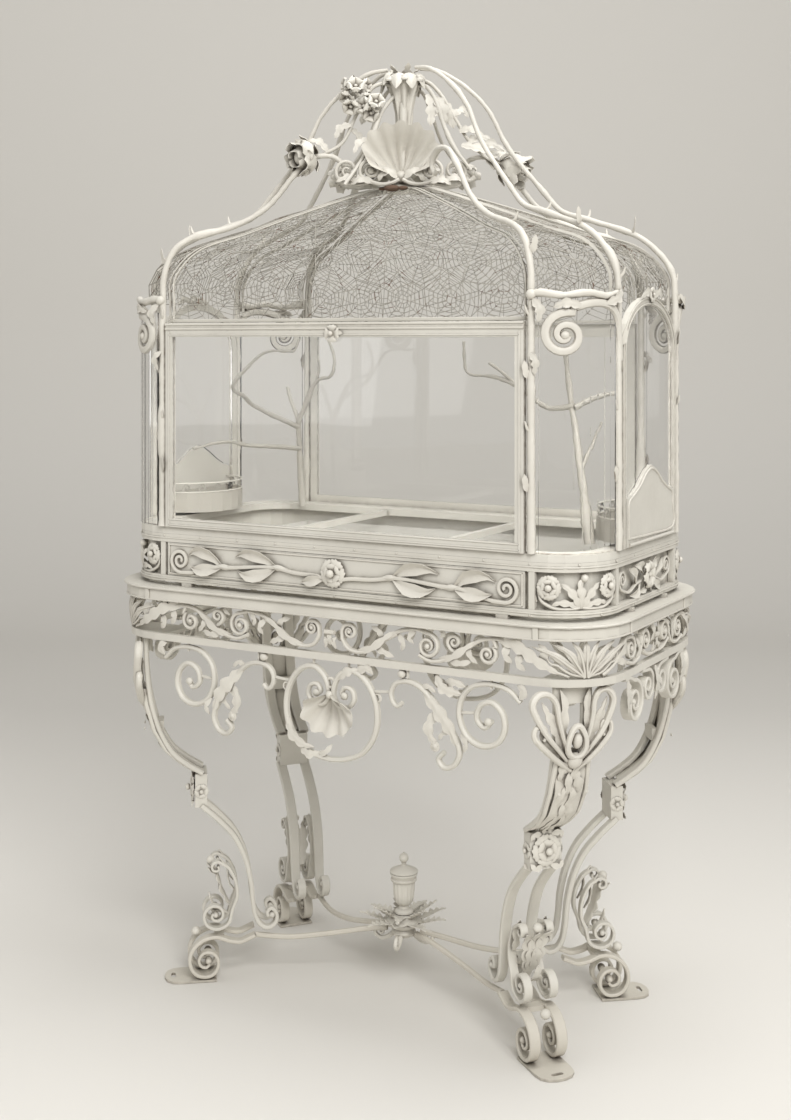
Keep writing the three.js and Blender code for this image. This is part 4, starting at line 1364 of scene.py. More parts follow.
@dataclass
class Branches:
    """The cage's posts and roof ribs, forged as branches that sweep up to the crown."""

    shop: Workshop
    foot: float = 967.3
    radius: float = 8.2
    post_x: float = 420.0
    post_y: float = 275.0
    end_x: float = 540.0
    end_y: float = 155.0
    front_rib: Outline = field(default_factory=lambda: [
        (1, 1440), (0.995, 1485), (0.96, 1535), (0.88, 1566), (0.7, 1592), (0.565, 1633), (0.46, 1697),
        (0.38, 1734), (0.3, 1738), (0.255, 1722), (0.25, 1700), (0.275, 1688), (0.3, 1697)])
    end_rib: Outline = field(default_factory=lambda: [
        (1, 1440), (0.992, 1485), (0.95, 1525), (0.86, 1566), (0.685, 1600), (0.595, 1617), (0.53, 1655),
        (0.396, 1750), (0.323, 1828), (0.238, 1879), (0.137, 1915), (0.062, 1922)])

    def rib(self, sx: int, sy: int, front: bool) -> tuple[list[Vector], float, float]:
        """The guide line of one post with its rib.

        Args:
            sx: Sign of X.
            sy: Sign of Y.
            front: True for the posts at the front and back, False for those at the ends.

        Returns:
            The line with its thickness at the foot and at the tip.
        """
        x, y = (self.post_x, self.post_y) if front else (self.end_x, self.end_y)
        profile = self.front_rib if front else self.end_rib
        points = [Vector((sx * x, sy * y, h)) for h in (self.foot, 1090, 1210, 1330)]
        points += [Vector((sx * x * s, sy * y * s, h)) for s, h in profile]
        return bend(points, 12.0), 1.0, 0.62 if front else 0.5

    def build(self) -> None:
        """Makes the eight branches, then their shoots and leaves."""
        iron = self.shop.finishes.cast
        for front, word in ((True, "Long"), (False, "End")):
            for sx, sy in CORNERS:
                side = "left" if sx < 0 else "right"
                face = "front" if sy < 0 else "back"
                node = f"{face}_rib_{side}" if front else f"side_rib_{face}_{side}"
                self.shop.branch(f"{word}_Branch_{face}_{side}", [self.rib(sx, sy, front)], self.radius, iron,
                                 knot=0.42, gnarl=0.9, seed=3.1 * sx + 1.7 * sy + 9 * front, replaces=[node])
        self.shoots()

    def shoots(self) -> None:
        """Short curled shoots and little leaves along the posts and ribs."""
        casting = Casting()
        rng = random.Random(5)
        for front in (True, False):
            for sx, sy in CORNERS:
                line = self.rib(sx, sy, front)[0]
                out = Vector((sx * (0.5 if front else 1), sy * (1 if front else 0.5), 0)).normalized()
                side = Vector((-out.y, out.x, 0))
                for k, share in enumerate((0.1, 0.21, 0.3, 0.4, 0.52, 0.6)):
                    spot = line[round(share * (len(line) - 1))]
                    lean = (side * rng.choice(SIDES) * 0.8 + out * 0.5).normalized()
                    if k % 2:
                        casting.rod([spot, spot + lean * 9 + UP * 8, spot + lean * 14 + UP * 21], 3.6, 0.35, 6, 5.0)
                    else:
                        tip = spot + lean * 15 + UP * 34
                        casting.leaf([spot, spot + lean * 11 + UP * 12, tip], out, 15, lobes=2, cut=0.3, across=4)
        self.shop.cast("Branch_Shoots", casting, self.shop.finishes.cast)


# ---------------------------------------------------------------- plain work carried over


@dataclass
class Frames:
    """The bars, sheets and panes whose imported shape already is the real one."""

    shop: Workshop

    def build(self) -> None:
        """Dresses the carried-over nodes."""
        done = self.shop.finishes
        ends = ("left", "right")
        corners = [f"{a}_{b}" for a in ("front", "back") for b in ends]
        self.shop.dress(done.bar, "stand_top_rail", "stand_lower_rail", "plinth_frame", "head_rail_front",
                        *[f"side_frame_{e}" for e in ends])
        self.shop.dress(done.sheet, "front_window_frame", "back_window_frame", "cage_sill", "drawer_front",
                        "plinth_backing", *[f"feeder_door_{e}" for e in ends])
        self.shop.dress(done.zinc, "drawer_tray")
        self.shop.dress(done.twig, *[f"feeder_trough_{e}" for e in ends])
        self.shop.dress(done.foot, *[f"foot_plate_{c}" for c in corners])
        self.shop.dress(done.glass, "front_window_glass", "back_window_glass", *[f"side_glass_{e}" for e in ends],
                        *[f"corner_glass_{c}" for c in corners])


# ---------------------------------------------------------------- plinth and frieze

OUT = Vector((0.0, 0.0, 1.0))


@dataclass
class Plinth:
    """Cast vines, roses and acanthus in the band between the cage and its stand."""

    shop: Workshop
    plan: Plan = Plan(540.0, 275.0, 120.0)
    low: float = 867.0
    high: float = 934.0

    def vine(self, casting: Casting, rose: float) -> None:
        """A vine that runs both ways from a rose to a volute, with leaves in pairs.

        Args:
            casting: The casting, placed on the panel with Z standing off it.
            rose: Radius of the rose.
        """
        for sign in SIDES:
            stem = mirrored(bend([(0, 884, 4), (14, 888, 4), (40, 893, 4), (90, 895, 3.5), (140, 902, 3.5), (190, 899, 4),
                                  (240, 894, 3.5), (275, 893, 3.5), (312, 884, 3.5), (345, 876, 3.5)], 8), sign)
            eye = volute((372, 900, 3.5), 25, 4, -95, 1.85)
            line = stem + mirrored(eye, sign)
            casting.scroll(line, 8.5, 8.5, 0.8)
            for root, pairs in (((134, 902), ((1, 98, 28), (-1, 92, 26))), ((266, 894), ((1, 84, 34), (-1, 78, 12)))):
                for lift, reach, climb in pairs:
                    x, z = root
                    spine = [(x, z, 4), (x + reach * 0.3, z + lift * climb * 0.62, 9),
                             (x + reach * 0.72, z + lift * climb * 0.84, 10), (x + reach, z + lift * climb * 0.5, 5)]
                    casting.leaf(mirrored([vec(*p) for p in spine], sign), OUT + vec(0, -0.35 * lift), 27, lobes=1,
                                 cup=0.32, thick=2.4, root=0.2, vein=-0.16, across=6)
                casting.leaf(mirrored([vec(root[0] - 30, root[1] - 3, 4), vec(root[0] - 6, root[1], 9),
                                       vec(root[0] + 16, root[1] + 2, 5)], sign), OUT, 12, lobes=1, cup=-0.5)
        casting.leaf([(-18, 890, 4), (-42, 884, 10), (-74, 878, 6)], OUT, 22, lobes=1, cup=0.3, vein=-0.15)
        casting.flower(vec(0, 901, 5), OUT, rose, 5, 0.3, turn=90, lift=0.22, layers=2)

    def border(self, casting: Casting, reach: float) -> None:
        """A thin raised frame round a panel."""
        low, high = self.low + 4, self.high - 4
        for z in (low, high):
            casting.bar([vec(-reach, z, 0.8), vec(0, z, 0.8), vec(reach, z, 0.8)], flat_section(3.2, 3.0, 0.7), OUT)
        for x in (-reach, reach):
            casting.bar([vec(x, low, 0.8), vec(x, 900, 0.8), vec(x, high, 0.8)], flat_section(3.2, 3.0, 0.7), OUT)

    def corner(self, casting: Casting, middle: float) -> None:
        """Two roses on bowed stems with acanthus rising between them.

        Args:
            casting: The casting.
            middle: Distance round the plan to the corner's middle.
        """
        def place(p: Vector) -> Vector:
            """Round the corner, just behind the rails' face."""
            return self.plan.place(vec(p.x + middle, p.y, p.z - 8))

        casting.at(place)
        for sign in SIDES:
            casting.scroll(mirrored(bend([(2, 870, 0), (24, 868, 2), (52, 870, 2), (76, 882, 2), (82, 898, 2)], 6), sign),
                           8, 7, 0.8)
            casting.flower(vec(sign * 62, 907, 3), OUT, 23, 5, 0.28, turn=18, lift=0.3, layers=2)
            for spine, width in (([(2, 870, 2), (12, 888, 7), (26, 906, 8), (40, 914, 3)], 17),
                                 ([(4, 870, 2), (22, 878, 6), (44, 880, 7), (58, 873, 3)], 14),
                                 ([(86, 880, 2), (93, 896, 6), (90, 918, 3)], 12)):
                casting.leaf(mirrored([vec(*p) for p in spine], sign), OUT, width, lobes=3, cup=0.15)
        casting.leaf([(0, 868, 3), (0, 892, 9), (-3, 912, 8), (3, 924, 4)], OUT, 20, lobes=3, cup=-0.2)
        casting.ball(vec(6, 924, 5), 7.5)

    def end(self, casting: Casting, side: int) -> None:
        """A lily with leaves and two volutes on an end panel."""
        casting.at(end_wall(self.plan.half_x - 8, side))
        casting.flower(vec(-4, 903, 5), OUT, 27, 6, 0.2, turn=25, lift=0.5)
        for sign in SIDES:
            line = mirrored(volute((118, 907, 1), 19, 4, -60, 1.7), sign)
            stem = mirrored(bend([(18, 893, 2), (50, 890, 2), (86, 880, 2), (116, 886, 1)], 6), sign)
            casting.scroll(stem + line, 7, 6, 0.6)
            for spine, width in (([(14, 906, 3), (34, 922, 9), (60, 926, 4)], 20), ([(30, 892, 3), (56, 874, 8), (84, 872, 3)], 18),
                                 ([(52, 892, 3), (66, 912, 8), (92, 924, 4)], 19), ([(8, 892, 3), (16, 878, 8), (34, 871, 3)], 15)):
                casting.leaf(mirrored([vec(*p) for p in spine], sign), OUT, width, lobes=1, cup=0.3, vein=-0.14)

    def build(self) -> None:
        """Makes the drawer's vine, the back panel's, the corners and the ends."""
        done = self.shop.finishes
        drawer = Casting(front_wall(-275.0))
        self.vine(drawer, 28)
        self.border(drawer, 402)
        self.shop.cast("Drawer_Vine", drawer, done.cast, Body.DRAWER)
        back = Casting(front_wall(263.0, 1))
        self.vine(back, 28)
        self.shop.cast("Back_Panel_Vine", back, done.cast)
        around = Casting()
        for sign in SIDES:
            middle = self.plan.front + self.plan.arc / 2
            self.corner(around, sign * middle)
            self.corner(around, sign * (2 * self.plan.quarter - middle))
            self.end(around, sign)
        self.shop.cast("Plinth_Corner_Ornament", around, done.cast)
        rails = Casting()
        for height in (859.5, 943.5):
            rails.bar(self.plan.loop(height, 0.2), flat_section(2.4, 3.2, 0.8), UP, closed=True)
        rails.bar(self.plan.loop(966, -9), flat_section(4, 6, 1.2), UP, closed=True)
        self.shop.cast("Plinth_Beads", rails, done.bar)
        seats = []
        for height, gap, proud in ((948.5, 92.0, 0.0), (856.0, 140.0, 0.0)):
            count = round(4 * self.plan.quarter / gap)
            for i in range(count):
                run = (i / count * 4 - 2) * self.plan.quarter
                spot = self.plan.place(vec(run, height, proud))
                seats.append((spot, spot - self.plan.place(vec(run, height, proud - 1))))
        self.shop.studs("Plinth_Rivets", seats, 2.6, done.bar)


@dataclass
class Frieze:
    """Openwork scrolls, sheath leaves and corner plumes between the stand's two rails."""

    shop: Workshop
    plan: Plan = Plan(554.0, 289.0, 124.0)

    def quarter(self, casting: Casting, side: int, back: bool) -> None:
        """The quarter from the middle of the front or back to the middle of an end.

        Args:
            casting: The casting.
            side: Sign of X.
            back: Whether it is the back's quarter.
        """
        def place(p: Vector) -> Vector:
            """Round the stand, just inside the rails' face."""
            run = 2 * self.plan.quarter - p.x if back else p.x
            return self.plan.place(vec(side * run, p.y, p.z - 4))

        casting.at(place)
        bars = (
            [vec(p.x, p.y, 2) for p in bend([(150, 800), (124, 786), (96, 766), (66, 756), (40, 761), (27, 778)], 6)]
            + volute((43, 793, 2), 17, 3.5, 190, -1.55),
            bend([(132, 792, 2), (158, 806, 2), (188, 812, 2), (206, 809, 2)], 6) + volute((214, 782, 2), 25, 4, 98, -1.8),
            bend([(196, 764, 2), (222, 755, 2), (258, 763, 2), (296, 786, 2), (330, 806, 2), (372, 808, 2),
                  (412, 792, 2), (452, 768, 2), (496, 752, 2)], 8),
            bend([(276, 772, 1), (262, 782, 1)], 5) + volute((270, 795, 1), 14, 3, 200, -1.4),
            bend([(350, 808, 1), (356, 794, 1)], 5) + volute((338, 779, 1), 19, 3.5, 50, -1.6),
            bend([(560, 752, 2), (590, 768, 2), (612, 790, 2), (634, 806, 2), (656, 806, 2)], 6)
            + volute((662, 783, 2), 23, 4, 95, -1.7),
            bend([(640, 762, 2), (672, 755, 2), (700, 762, 2), (716, 782, 2)], 6)
            + volute((738, 786, 2), 23, 4, 185, -1.7),
            bend([(716, 800, 2), (748, 812, 2), (789, 812, 2)], 6),
            bend([(720, 770, 2), (752, 757, 2), (789, 756, 2)], 6),
        )
        for line in bars:
            casting.scroll(line, 12, 8.6, 0.62)
        leaves = (
            ([(60, 757, 4), (96, 768, 9), (128, 792, 9), (150, 806, 4)], 17, 3), ([(100, 770, 3), (118, 764, 8), (142, 754, 3)], 15, 2),
            ([(118, 784, 3), (112, 800, 8), (92, 808, 3)], 14, 2), ([(150, 800, 3), (164, 784, 8), (158, 768, 3)], 14, 2),
            ([(236, 760, 3), (268, 768, 9), (300, 790, 8), (322, 804, 4)], 16, 3), ([(256, 762, 3), (284, 758, 8), (308, 764, 3)], 15, 2),
            ([(300, 790, 3), (304, 774, 7), (318, 760, 3)], 13, 2), ([(240, 800, 3), (250, 810, 6), (238, 812, 3)], 10, 1),
            ([(362, 808, 4), (404, 800, 10), (444, 776, 10), (480, 756, 4)], 26, 5), ([(384, 802, 3), (376, 784, 8), (388, 768, 3)], 17, 2),
            ([(412, 790, 3), (402, 772, 8), (414, 757, 3)], 17, 2), ([(440, 776, 3), (454, 794, 8), (440, 808, 3)], 17, 2),
            ([(590, 768, 4), (618, 790, 9), (640, 806, 4)], 17, 3), ([(600, 770, 3), (624, 766, 8), (632, 754, 3)], 14, 2),
            ([(688, 758, 3), (700, 776, 8), (690, 800, 3)], 15, 2), ([(700, 808, 3), (690, 812, 6), (676, 810, 3)], 10, 1),
            ([(770, 812, 3), (778, 796, 8), (770, 778, 3)], 16, 2), ([(770, 757, 3), (776, 768, 7), (788, 776, 3)], 12, 2),
            ([(12, 757, 3), (8, 772, 7), (14, 780, 3)], 10, 1), ([(190, 812, 3), (176, 796, 7), (184, 784, 3)], 12, 2),
        )
        for spine, width, lobes in leaves:
            casting.leaf(spine, OUT, width, lobes=lobes, cup=0.18, cut=0.4, thick=2.4, across=4)
        for x, z, radius in ((43, 793, 4.5), (214, 782, 6), (338, 779, 5), (662, 783, 6), (738, 786, 6)):
            casting.ball(vec(x, z, 5), radius, 0.8, OUT, 10)
        middle = self.plan.front + self.plan.arc / 2
        for reach, tip, top, width in ((0, 0, 815, 20), (12, 26, 814, 15), (30, 62, 811, 15), (58, 100, 803, 15)):
            for sign in ((1,) if reach == 0 else SIDES):
                spine = [(middle + sign * 3, 750, 4), (middle + sign * reach * 0.5, 770, 8),
                         (middle + sign * (reach * 0.6 + tip * 0.25), (top + 780) / 2, 10),
                         (middle + sign * tip, top, 5)]
                casting.leaf(spine, OUT, width, lobes=3, cup=-0.2, cut=0.25, thick=3.0)
                casting.bar(bend(spine, 6), round_section(2.2, 6), swell=taper(1.5, 1.2, 0.6))
        for sign in SIDES:
            casting.scroll(bend([(middle + sign * 6, 752, 3), (middle + sign * 30, 758, 5), (middle + sign * 52, 772, 4)], 5)
                           + [vec(middle + sign * (p.x - middle), p.y, 4)
                              for p in volute((middle + 60, 786), 13, 3, -100, 1.3)], 7, 5, 0.6)

    def build(self) -> None:
        """Makes the frieze and its middle collars."""
        casting = Casting()
        for side in SIDES:
            for back in (False, True):
                self.quarter(casting, side, back)
        for sign in SIDES:
            for wall in (front_wall(sign * 289.0, sign), end_wall(554.0, sign)):
                casting.at(wall)
                casting.bar([vec(-11, 789, 2), vec(0, 789, 2), vec(11, 789, 2)], flat_section(8, 9, 2), OUT)
                casting.leaf([(0, 764, 0), (0, 776, 4), (0, 787, 2)], OUT, 15, lobes=2)
        self.shop.cast("Frieze_Scrolls", casting, self.shop.finishes.cast, replaces=["stand_frieze"])


@dataclass
class Ledge:
    """The eased edge and seam blocks of the stand's top."""

    shop: Workshop
    plan: Plan = Plan(570.0, 307.0, 140.0)

    def build(self) -> None:
        """Dresses the ledge with a rounded lip and a few seams."""
        casting = Casting()
        casting.bar(self.plan.loop(842.5, -1.5), flat_section(4.5, 4.6, 1.6), UP, closed=True)
        lower = Plan(565.0, 302.0, 135.0)
        casting.bar(lower.loop(818.5, -1.0), flat_section(4, 4, 1.2), UP, closed=True)
        for side in SIDES:
            for run in (440.0, 655.0, 950.0, 1170.0):
                casting.at(lambda p, r=run, s=side: lower.place(vec(s * (r + p.x), p.y, p.z)))
                casting.bar([vec(0, 818, 0.3), vec(0, 829, 0.3), vec(0, 840, 0.3)], flat_section(11, 4, 1.2), OUT)
        self.shop.cast("Ledge_Lip", casting, self.shop.finishes.bar)


# ---------------------------------------------------------------- aprons, legs and base


@dataclass
class Aprons:
    """Leaves, balls, rings and shells on the hanging scrolls, and the scrolls of the ends."""

    shop: Workshop
    face: float = 285.0
    heart_scroll: Outline = field(default_factory=lambda: [
        (32, 664), (24, 672), (32, 684), (48, 680), (52, 662), (38, 646), (16, 649), (5, 668), (14, 700), (40, 718),
        (72, 708), (96, 676), (104, 636), (96, 596), (70, 562), (34, 546), (0, 541)])
    hanging_scroll: Outline = field(default_factory=lambda: [
        (158, 670), (149, 662), (139, 668), (134, 686), (144, 704), (170, 711), (200, 702), (228, 676), (250, 646),
        (272, 616), (280, 590), (268, 566), (248, 560), (236, 574), (248, 588)])
    knee_scroll: Outline = field(default_factory=lambda: [
        (404, 698), (380, 718), (345, 725), (308, 717), (284, 692), (280, 656), (296, 624), (326, 610), (356, 618),
        (372, 644), (368, 674), (346, 692), (322, 682), (316, 658), (332, 644), (346, 658)])

    def scrolls(self, casting: Casting, sign: int) -> None:
        """The bent bars of the front (sign -1) or back (sign 1) apron."""
        casting.at(front_wall(sign * self.face, sign))
        section = flat_section(10.6, 16, 3.8)
        for outline in (self.heart_scroll, self.hanging_scroll, self.knee_scroll):
            for side in SIDES:
                casting.bar(mirrored(bend(outline, 4), side), section, OUT, taper(0.72, 1.0, 0.85))
        for side in SIDES:
            casting.ball(vec(side * 32, 668, 4), 8, 0.7, OUT)
            casting.ball(vec(side * 340, 656, 4), 8, 0.7, OUT)
            for x, z in ((103, 684), (283, 666)):
                casting.bar([vec(side * (x - 8), z, 0), vec(side * x, z, 0), vec(side * (x + 30), z + 3, 0)],
                            round_section(3, 6), OUT)
            for x in (40, 170, 345):
                casting.bar([vec(side * x, 716, 0), vec(side * x, 726, 0), vec(side * x, 733, 0)], round_section(3, 6))

    def long_side(self, casting: Casting, sign: int) -> None:
        """Dresses the front (sign -1) or back (sign 1) apron."""
        casting.at(front_wall(sign * self.face, sign))
        for side in SIDES:
            casting.ball(vec(side * 158, 724, 0), 9, sides=14)
            for spine, width, lobes in (
                    ([(208, 694, 4), (240, 664, 10), (264, 634, 10), (278, 600, 5)], 32, 4),
                    ([(238, 664, 4), (220, 640, 9), (222, 614, 8), (238, 602, 4)], 24, 3),
                    ([(262, 634, 4), (246, 622, 8), (238, 610, 4)], 12, 2), ([(200, 702, 3), (216, 708, 6), (232, 696, 3)], 12, 2),
                    ([(404, 704, 4), (414, 722, 8), (398, 730, 4)], 18, 2), ([(284, 628, 4), (296, 612, 8), (290, 594, 4)], 14, 2)):
                casting.leaf(mirrored([vec(*p) for p in spine], side), OUT, width, lobes=lobes, cup=0.1, thick=2.6)
            casting.ball(vec(side * 231, 598, 4), 8, 0.7, OUT)
            casting.flower(vec(side * 231, 598, 5), OUT, 10, 5, 0.3)
            ring = [vec(side * 103 + 7.5 * math.cos(a), 672 + 7.5 * math.sin(a), 0)
                    for a in (2 * math.pi * i / 16 for i in range(16))]
            casting.bar(ring, round_section(2.6, 6), OUT, closed=True)
        centre = [vec(9 * math.cos(a), 690 + 9 * math.sin(a), 2) for a in (2 * math.pi * i / 18 for i in range(18))]
        casting.bar(centre, round_section(3.2, 8), OUT, closed=True)
        casting.scallop(vec(0, 670, 6), vec(0, -1), OUT, 82, 74, 6, 0.14, 3.0)
        casting.ball(vec(0, 668, 8), 8, 0.8, OUT)
        for spine, width, lobes in (
                ([(-98, 612, 3), (-88, 584, 9), (-62, 566, 9), (-36, 560, 4)], 22, 4), ([(-70, 560, 3), (-48, 548, 9), (-22, 552, 4)], 20, 3),
                ([(-30, 548, 3), (-8, 556, 8), (4, 572, 3)], 14, 2), ([(16, 700, 3), (40, 716, 8), (66, 722, 4)], 20, 3),
                ([(56, 716, 3), (84, 728, 8), (96, 716, 4)], 18, 2), ([(232, 730, 3), (250, 708, 9), (286, 700, 4)], 24, 4),
                ([(250, 716, 3), (272, 722, 8), (294, 714, 3)], 18, 2)):
            casting.leaf([vec(*p) for p in spine], OUT, width, lobes=lobes, cup=0.15, cut=0.4, thick=2.6)

    def end(self, casting: Casting, sign: int) -> None:
        """Hangs flat-bar scrolls under an end."""
        casting.at(end_wall(546.0, sign))
        section = flat_section(7, 22, 1.2)
        for side in SIDES:
            big = bend([(158, 731), (132, 730), (112, 722)], 6) + volute((105, 679), 43, 8, 85, 1.75)
            small = bend([(70, 731), (52, 729)], 6) + volute((36, 696), 33, 6, 80, 1.6)
            for line in (big, small):
                casting.bar(mirrored(line, side), section, OUT, taper(1.0, 1.0, 0.85))
            casting.ball(vec(side * 105, 679, 2), 8, 0.9, OUT)
            casting.leaf(mirrored([vec(146, 730, 9), vec(150, 700, 14), vec(140, 668, 9)], side), OUT, 30, lobes=4)
        casting.leaf([(0, 730, 8), (0, 700, 15), (0, 664, 8)], OUT, 28, lobes=4)

    def build(self) -> None:
        """Makes the ornament of the front and back, and the end scrolls."""
        long = Casting()
        for sign, word in ((-1, "Front"), (1, "Back")):
            bars = Casting()
            self.scrolls(bars, sign)
            self.shop.cast(f"Apron_Scrolls_{word}", bars, self.shop.finishes.bar, replaces=[f"apron_{word.lower()}"])
            self.long_side(long, sign)
        self.shop.cast("Apron_Leaves", long, self.shop.finishes.cast)
        ends = Casting()
        for sign in SIDES:
            self.end(ends, sign)
        self.shop.cast("End_Aprons", ends, self.shop.finishes.bar)


@dataclass
class Legs:
    """Acanthus castings on the knees, collar flowers, foot scrolls and balls of the four legs."""

    shop: Workshop
    plane: float = math.radians(38.33)
    offset: float = -109.5
    pair: float = 28.0
    outline: Outline = field(default_factory=lambda: [
        (733, 535), (690, 535), (640, 532), (590, 524), (535, 508), (488, 482), (462, 452), (440, 417)])
    lower: Outline = field(default_factory=lambda: [
        (420, 372), (383, 339), (350, 302), (328, 256), (316, 206), (312, 166), (306, 132), (293, 112), (277, 107),
        (263, 118), (262, 136), (272, 147), (281, 140), (279, 131)])
    rolled: Outline = field(default_factory=lambda: [
        (307, 92), (322, 86), (339, 80), (362, 84), (388, 93), (415, 88), (436, 71), (444, 47), (438, 25), (422, 12),
        (400, 12), (386, 27), (386, 47), (398, 60), (415, 60), (425, 47), (421, 34), (409, 30), (402, 38)])
    arm: tuple = ((291, 126, 92), (232, 84, 84), (160, 46, 92), (84, 21, 108), (35, 9, 116))

    def bars(self, casting: Casting, sx: int, sy: int) -> None:
        """The twin bent bars of a leg with their blocks."""
        casting.at(self.place(sx, sy))
        upper = bend([(s, z) for z, s in self.outline], 10)
        lower = bend(self.lower, 6)
        for across in (-self.pair, self.pair):
            for line, swell in ((upper, None), (lower, taper(1.0, 1.0, 0.75))):
                casting.bar([vec(p.x, p.y, across) for p in line], flat_section(10, 22, 2.4), OUT, swell)
            casting.ball(vec(271, 133, across), 8, 1.4, OUT)
        casting.block((525, 700, -24), (541, 732.6, 24))
        casting.block((498, 525, -24), (510, 551, 24))
        casting.block((408, 368, -33), (433, 438, 33))

    def base(self, casting: Casting, sx: int, sy: int) -> None:
        """The rolled foot bars and the arm that runs to the hub."""
        casting.at(self.place(sx, sy))
        for across in (-self.pair, self.pair):
            casting.bar([vec(p.x, p.y, across) for p in bend(self.rolled, 5)], flat_section(7.6, 22, 2.0), OUT,
                        taper(1.0, 1.0, 0.8))
            casting.ball(vec(405, 43, across), 8, 1.5, OUT)
        casting.block((372, 85, -24), (392, 95, 24))
        casting.at(lambda p: Vector((sx * p.x, sy * p.y, p.z)))
        casting.bar(bend(self.arm, 9), flat_section(10, 10, 2.4), UP)

    def place(self, sx: int, sy: int) -> Place:
        """A leg's own plane: distance out, height, distance across."""
        cos, sin = math.cos(self.plane), math.sin(self.plane)

        def spot(p: Vector) -> Vector:
            """A point of the leg's plane in the frame."""
            across = self.offset + p.z
            return Vector((sx * (p.x * cos - across * sin), sy * (p.x * sin + across * cos), p.y))

        return spot

    def shin(self, sx: int, sy: int) -> Place:
        """The leg's outer face: distance across, height, stand-off."""
        leg = self.place(sx, sy)

        def reach(height: float) -> float:
            """How far out the outer face lies at a height."""
            for (z1, s1), (z0, s0) in zip(self.outline, self.outline[1:]):
                if height >= z0:
                    return s0 + (s1 - s0) * (height - z0) / (z1 - z0)
            return self.outline[-1][1]

        return lambda p: leg(vec(reach(p.y) + 6 + p.z, p.y, p.x))

    def knee(self, casting: Casting) -> None:
        """The acanthus on the upper leg, from the rail down to the collar."""
        for side in SIDES:
            wide = 1.0 if side > 0 else 0.86
            ear = [(8, 592, 8), (36, 622, 12), (62, 652, 13), (82, 686, 11), (88, 706, 9), (76, 722, 8),
                   (56, 722, 9), (42, 706, 11), (37, 678, 13), (28, 646, 13), (14, 612, 11)]
            hook = [(4, 578, 7), (32, 598, 12), (58, 620, 13), (82, 646, 10), (80, 664, 9), (64, 664, 9),
                    (60, 650, 11), (66, 640, 12)]
            casting.bar([vec(side * wide * p.x, p.y, p.z) for p in bend(ear, 6)], flat_section(9, 13, 3), OUT,
                        taper(0.8, 1.25, 0.7))
            casting.bar([vec(side * wide * p.x, p.y, p.z) for p in bend(hook, 5)], flat_section(10, 13, 3.5), OUT,
                        taper(0.9, 1.1, 0.6))
            for spine, width, lobes in (
                    ([(10, 606, 5), (34, 648, 8), (54, 684, 7), (66, 708, 4)], 24, 5),
                    ([(14, 590, 5), (44, 622, 8), (62, 640, 8), (68, 660, 4)], 26, 4),
                    ([(16, 610, 4), (27, 660, 9), (22, 700, 9), (30, 728, 6)], 24, 3)):
                casting.leaf(mirrored([vec(*p) for p in spine], side), OUT, width, lobes=lobes, cup=0.22, cut=0.42,
                             thick=3.5)
        drop = [vec(18 * math.sin(a) * (1 - 0.25 * math.cos(a)), 634 + 29 * math.cos(a), 17)
                for a in (2 * math.pi * i / 20 for i in range(20))]
        casting.bar(drop, round_section(6, 8), OUT, closed=True)
        casting.ball(vec(0, 636, 16), 10, 1.5, vec(0, 1))
        casting.ball(vec(0, 598, 12), 16, 0.7)
        plate = [vec(0, z, 2 + 6 * math.sin((z - 440) / 42)) for z in range(618, 440, -6)]
        casting.bar(plate, flat_section(5, 62, 1.5), vec(1, 0), taper(1.15, 0.9, 0.95))
        for side in SIDES:
            edge = [vec(side * (30 + 6 * math.sin((z - 440) / 56)), z, 4) for z in range(622, 440, -8)]
            casting.bar(edge, round_section(5, 8), OUT, taper(1.1, 0.9, 0.8))
        for k, height in enumerate((612, 582, 552, 522, 494, 468)):
            size = 42 - 4.2 * k
            side = (-1) ** k
            casting.leaf([(side * 2, height, 7), (side * size * 0.3, height - 18, 12),
                          (side * size * 0.5, height - 40, 11), (side * size * 0.42, height - 56, 6)], OUT,
                         size * 0.6, lobes=3, cup=-0.2, cut=0.45, thick=3, across=6)
            casting.leaf([(-side * 3, height - 6, 7), (-side * 7, height - 24, 13), (side * 2, height - 58, 8)], OUT,
                         size * 0.45, lobes=2, cup=0.2, cut=0.4, thick=3, across=6)

    def collar(self, casting: Casting, leg: Place) -> None:
        """The flower on the collar box."""
        casting.at(lambda p: leg(vec(433.5 + p.z, p.y, p.x)))
        casting.flower(vec(0, 404, 2), OUT, 30, 5, 0.24, turn=90, lift=0.2, layers=2)
        for side in SIDES:
            casting.leaf([(side * 8, 376, 2), (side * 24, 372, 7), (side * 34, 382, 3)], OUT, 14, lobes=2)
            casting.leaf([(side * 10, 432, 2), (side * 26, 436, 7), (side * 33, 424, 3)], OUT, 14, lobes=2)
        casting.at(leg)
        for side in SIDES:
            casting.flower(vec(420, 402, side * 33.5), vec(0, 0, side), 15, 5, 0.3, lift=0.2)

